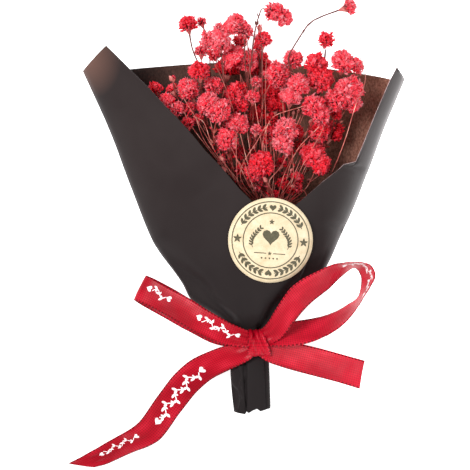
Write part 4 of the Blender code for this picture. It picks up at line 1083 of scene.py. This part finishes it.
def add_bract(bm, foot, way, length):
    """A small pointed scale on a stem."""
    verts = flat_grid(bm, 2, 3)
    for vert in verts:
        side, along = vert.co.x * 2, vert.co.y + 0.5
        width = 0.17 * math.sin(math.pi * min(1.0, 0.18 + 0.82 * along)) ** 0.8
        vert.co = Vector((side * width, along, 0.2 * along * along - 0.1 * side * side))
    skin = bmesh.ops.solidify(bm, geom=list(faces_of(verts)), thickness=0.06)
    verts = list(set(verts) | {item for item in skin["geom"] if isinstance(item, bmesh.types.BMVert)})
    put(bm, verts, foot, way.to_track_quat("Y", "Z").to_matrix(), length, length, length)


def dress_spray(name, chance):
    """Rounds a spray's stems, adds its bracts and returns the runs of stem that they grow on."""
    bm = bmesh.new()
    bm.from_mesh(bpy.data.objects[name].data)
    bmesh.ops.remove_doubles(bm, verts=bm.verts, dist=0.00001)
    face_outwards(bm)
    for vert in bm.verts:
        vert.co -= vert.normal * (STEM_SLIMMED * MM)
    crease = bm.edges.layers.float.new("crease_edge")
    for face in bm.faces:
        cut_off = face.normal.y < -0.9      # the lower ends, which are thicker
        if max(edge.calc_length() for edge in face.edges) < END_SIZE * MM * (2 if cut_off else 1):
            for edge in face.edges:
                edge[crease] = 1.0
    runs = []
    for edge in bm.edges:
        low, high = sorted((vert.co / MM for vert in edge.verts), key=lambda place: place.y)
        if edge.calc_length() > 3 * MM and low.y > 0:
            runs.append((low, (high - low).normalized()))
    for foot, way in chance.sample(runs, min(len(runs), 16)):
        aside = way.cross(anywhere(chance)).normalized()
        for side in (-1, 1):
            add_bract(bm, foot, (way + aside * side * 0.7).normalized(), chance.uniform(1.6, 2.8))
    face_outwards(bm)
    piece = add_piece("stems_" + name[-1], bm, [shaded_stem_finish], [name])
    rounding = piece.modifiers.new("Rounding", "SUBSURF")
    rounding.levels = rounding.render_levels = 1
    return runs


chance = random.Random(5)
stem_runs = [run for name in spray_names for run in dress_spray(name, chance)]
print("stem runs:", len(stem_runs))

# %% [markdown]
# ## Fine twigs and buds
# In front of the florets run many hair-thin stems, some of which end in buds that never opened. Each
# is a narrow grid, rolled round a smooth route from inside the cone to its tip. A bud is a ball that
# is pulled to a point and ribbed by the closed calyx.

# %% A thin twig along a route
def add_twig(bm, route, radius, sides=5, step=2.5):
    """Adds a thin closed stem along a smooth route of points in millimetres."""
    axes = curves(route)
    length = sum((Vector(b) - Vector(a)).length for a, b in zip(route, route[1:]))
    rows = max(4, round(length / step))
    verts = flat_grid(bm, sides, rows)
    last = len(route) - 1
    for vert in verts:
        mark = (vert.co.y + 0.5) * last
        turn = (vert.co.x + 0.5) * 2 * math.pi
        spot = Vector([axis(mark) for axis in axes])
        way = (Vector([axis(min(mark + 0.02, last)) for axis in axes])
               - Vector([axis(max(mark - 0.02, 0)) for axis in axes])).normalized()
        one = way.orthogonal().normalized() if abs(way.z) > 0.9 else way.cross(Vector((0, 0, 1))).normalized()
        two = way.cross(one)
        taper = radius * (1.15 - 0.4 * mark / last)
        taper *= 1 + 0.12 * noise.noise(spot * 0.8)
        vert.co = (spot + (one * math.cos(turn) + two * math.sin(turn)) * taper) * MM
    bmesh.ops.remove_doubles(bm, verts=verts, dist=0.000002)


def add_bud(bm, spot, way, size):
    """Adds a small ribbed bud that sits on the end of a twig."""
    made = bmesh.ops.create_uvsphere(bm, u_segments=10, v_segments=6, radius=1)
    for vert in made["verts"]:
        girth = rib(vert.co, 0.8) * (0.75 - 0.25 * vert.co.z)
        vert.co = Vector((vert.co.x * girth, vert.co.y * girth, (vert.co.z + 0.8) * 1.1))
    put(bm, made["verts"], spot, way.to_track_quat("Z", "Y").to_matrix(), size, size, size)
    for face in faces_of(made["verts"]):
        face.material_index = 1


def px(x, y, z):
    """A place that was read off the photograph, as millimetres."""
    return ((x - 250) * 0.41667, (240 - y) * 0.41667, z)


# %% Twigs that were read off the photograph
FRONT_TWIGS = (
    ((268, 212, 18), (262, 150, 22), (255, 105, 27), (250, 75, 30), (247, 42, 31)),
    ((268, 212, 18), (266, 140, 25), (265, 100, 28), (266, 60, 27)),
    ((262, 212, 17), (248, 165, 23), (236, 120, 27), (222, 80, 28), (207, 52, 26)),
    ((258, 210, 17), (236, 178, 24), (215, 152, 26), (203, 122, 27), (193, 117, 27)),
    ((262, 208, 18), (237, 179, 26), (236, 138, 30), (240, 130, 30)),
    ((264, 210, 18), (240, 175, 26), (257, 142, 31), (265, 128, 30)),
    ((257, 206, 17), (226, 168, 22), (214, 135, 23), (208, 112, 24)),
    ((257, 206, 17), (221, 163, 22), (203, 138, 24), (196, 118, 26)),
    ((256, 206, 17), (217, 160, 21), (190, 124, 24), (184, 112, 25)),
    ((280, 208, 18), (290, 165, 26), (297, 150, 29), (318, 128, 31)),
    ((283, 208, 18), (300, 170, 24), (322, 130, 26), (330, 108, 27)),
    ((292, 206, 14), (325, 183, 18), (343, 144, 24), (355, 105, 28), (362, 90, 29), (364, 78, 30),
     (358, 57, 30)),
    ((270, 205, 18), (262, 150, 27), (272, 119, 31), (302, 108, 33)),
    ((275, 206, 18), (293, 175, 26), (291, 140, 29), (300, 118, 28)),
    ((271, 206, 18), (274, 165, 27), (272, 140, 30)),
    ((282, 208, 18), (306, 188, 24), (314, 172, 27)),
    ((276, 208, 18), (282, 180, 26), (296, 152, 30), (304, 145, 30)),
    ((262, 207, 18), (246, 180, 26), (232, 150, 29), (218, 124, 28)),
    ((268, 205, 18), (262, 110, 20), (285, 72, 26), (312, 90, 29)),
    ((266, 205, 18), (250, 150, 22), (240, 75, 22), (250, 100, 30)),
    ((272, 207, 18), (268, 185, 28), (280, 168, 30), (287, 155, 31)),
    ((274, 207, 18), (284, 190, 27), (292, 178, 29), (300, 160, 30)),
    ((262, 208, 18), (252, 185, 28), (243, 160, 30)))
BUD_TWIGS = (
    ((262, 208, 17), (240, 186, 24), (223, 161, 28)), ((258, 208, 17), (238, 192, 23), (225, 172, 26)),
    ((214, 150, 20), (192, 112, 24), (173, 82, 27)), ((262, 110, 24), (262, 60, 27), (260, 33, 28)),
    ((276, 206, 18), (271, 190, 27), (266, 182, 29)), ((284, 206, 18), (302, 190, 25), (308, 200, 25)))
TWIG, BUD = 0.19, 1.25      # radius of a twig and length of a bud
bm = bmesh.new()
buds = []
for i, route in enumerate(FRONT_TWIGS + BUD_TWIGS):
    route = [px(*spot) for spot in route]
    add_twig(bm, route, TWIG)
    if i >= len(FRONT_TWIGS):
        buds.append((route, BUD))
chance = random.Random(11)
for _ in range(34):
    end_x, end_y = chance.uniform(206, 335), chance.uniform(95, 190)
    depth = chance.uniform(9, 21)
    start = (chance.uniform(256, 286), 212, chance.uniform(12, 19))
    middle = ((start[0] + end_x) / 2 + chance.uniform(-9, 9), (start[1] + end_y) / 2 + chance.uniform(-6, 6),
              (start[2] + depth) / 2 + 1)
    route = [px(*start), px(*middle), px(end_x, end_y, depth)]
    add_twig(bm, route, chance.uniform(0.15, 0.22))
    buds.append((route, chance.uniform(0.6, 1.1)))
for route, size in buds:
    add_bud(bm, Vector(route[-1]), (Vector(route[-1]) - Vector(route[-2])).normalized(), size)
face_outwards(bm)
print("twigs:", len(bm.faces), "faces")
add_piece("fine_twigs", bm, [twig_finish, cup_finish])

# %% [markdown]
# Gaps between the blooms show smaller florets deeper in the bouquet. Each one grows on a twig of its
# own, just as the large ones do.

# %% Small florets behind the others
# the lower florets take the deep finish as painted shade
LATE_FLORETS = {
    "petal_deep": ((238, 152, 17, 3.2), (241, 168, 18, 3.0), (257, 112, 16, 4.0), (271, 118, 16, 3.2),
                   (283, 183, 19, 3.0), (292, 190, 18, 2.4), (299, 146, 20, 2.8), (336, 114, 21, 2.8)),
    "petal_red": ((190, 108, 21, 3.0), (198, 119, 20, 2.6), (240, 42, 22, 3.2), (258, 48, 22, 2.6),
                  (214, 55, 21, 3.0))}
NECK = Vector(px(265, 208, 16))
for slot, places in LATE_FLORETS.items():
    bm = petal_bmesh()
    cups, routes = [], []
    for x, y, z, radius in places:
        middle = Vector(px(x, y, z))
        axis = ((middle - NECK).normalized() + Vector((0, 0, 0.6))).normalized()
        foot = middle - axis * radius
        grow_floret(bm, chance, middle, radius, axis, 1.6)
        cups.append((foot, middle, radius))
        routes.append([tuple(NECK), tuple((NECK + foot) / 2 - Vector((0, 0, 1.5))), tuple(foot)])
    for foot, middle, radius in cups:
        cup(bm, foot, middle, radius, 1.6, chance.random())
    print(slot, len(places), "small florets:", len(bm.faces), "faces")
    add_piece("late_florets_" + slot[6:], bm, [petal_finishes[slot], cup_finish])
    bm = bmesh.new()
    for route in routes:
        add_twig(bm, route, 0.2)
    face_outwards(bm)
    add_piece("late_twigs_" + slot[6:], bm, [shaded_stem_finish])

# %% [markdown]
# Dry florets shed. Their loose petals catch between the stems, most of them low down in the cone.

# %% Petals caught between the stems
bm = petal_bmesh()
low_runs = [run for run in stem_runs if 5 < run[0].y < 45 and run[0].z > 10]
for foot, way in (chance.choice(low_runs) for _ in range(200)):
    spot = foot + way * chance.uniform(0, 3)
    aside = Vector([chance.uniform(-1, 1), chance.uniform(-1, 1), chance.uniform(-0.2, 1)]).normalized()
    place_petal(bm, petals[chance.randrange(PETAL_KINDS)], spot, spot + aside * chance.uniform(1.8, 3.2),
                anywhere(chance), 1.6, chance.random())
print("caught petals:", len(bm.faces), "faces")
add_piece("caught_petals", bm, [petal_finishes["petal_red"]])


# %% [markdown]
# ## The cut ends in the neck
# The stems on show would not fill the neck. Shorter stalks are bound in with them, and all are cut
# off a little inside the paper. They lie in even rows, and each runs up the neck for as long as it
# keeps clear of the paper and of the stems that are there already.

# %% Fill the neck with stalks
STALK = 0.6                 # radius
STALK_PITCH = 1.5
STALK_ROWS = (2.95, 4.5, 6.1, 7.6)
KEEP_CLEAR = 0.92           # from a stalk's middle to the middle of the paper or the skin of a stem
SHORTEST = 20               # points of its path that have to be clear
pith = Finish("cut_pith", Roughness=0.8, Specular_IOR_Level=0.1)
pith.colour(pith.ramp(pith.noise(2500, 2), (0.35, (0.24, 0.1, 0.06)), (0.65, (0.5, 0.3, 0.18))))


def points_along(one, two, step=0.8):
    """Points from one place to another, about a step apart."""
    count = max(1, round((two - one).length / step))
    return [one.lerp(two, i / count) for i in range(count + 1)]


taken = [vert.co / MM for vert in wrap.data.vertices if vert.co.y < 0]
for name in spray_names:
    mesh = bpy.data.objects["stems_" + name[-1]].data
    for edge in mesh.edges:
        ends = [mesh.vertices[i].co / MM for i in edge.vertices]
        if min(end.y for end in ends) < 0:
            taken += points_along(*ends)
near = kdtree.KDTree(len(taken))
for i, spot in enumerate(taken):
    near.insert(spot, i)
near.balance()

chance = random.Random(23)
bm = bmesh.new()
stalks = 0
for row, z in enumerate(STALK_ROWS):
    for i in range(-4, 6):
        x = (i + 0.5 * (row % 2)) * STALK_PITCH + chance.uniform(-0.04, 0.04)
        path = points_along(Vector((x, chance.uniform(-69.2, -67.4), z)),
                            Vector((x, chance.uniform(-40, -34), z)))
        clear = next((k for k, spot in enumerate(path) if near.find(spot)[2] < KEEP_CLEAR), len(path))
        if clear > SHORTEST:
            add_twig(bm, [path[0], path[clear // 2], path[clear - 1]], STALK, sides=7)
            stalks += 1
ends = bmesh.ops.holes_fill(bm, edges=[edge for edge in bm.edges if edge.is_boundary])["faces"]
bmesh.ops.inset_individual(bm, faces=ends, thickness=0.06 * MM)
for face in ends:
    face.material_index = 1
face_outwards(bm)
print("stalks in the neck:", stalks)
add_piece("bound_stalks", bm, [shaded_stem_finish, pith])
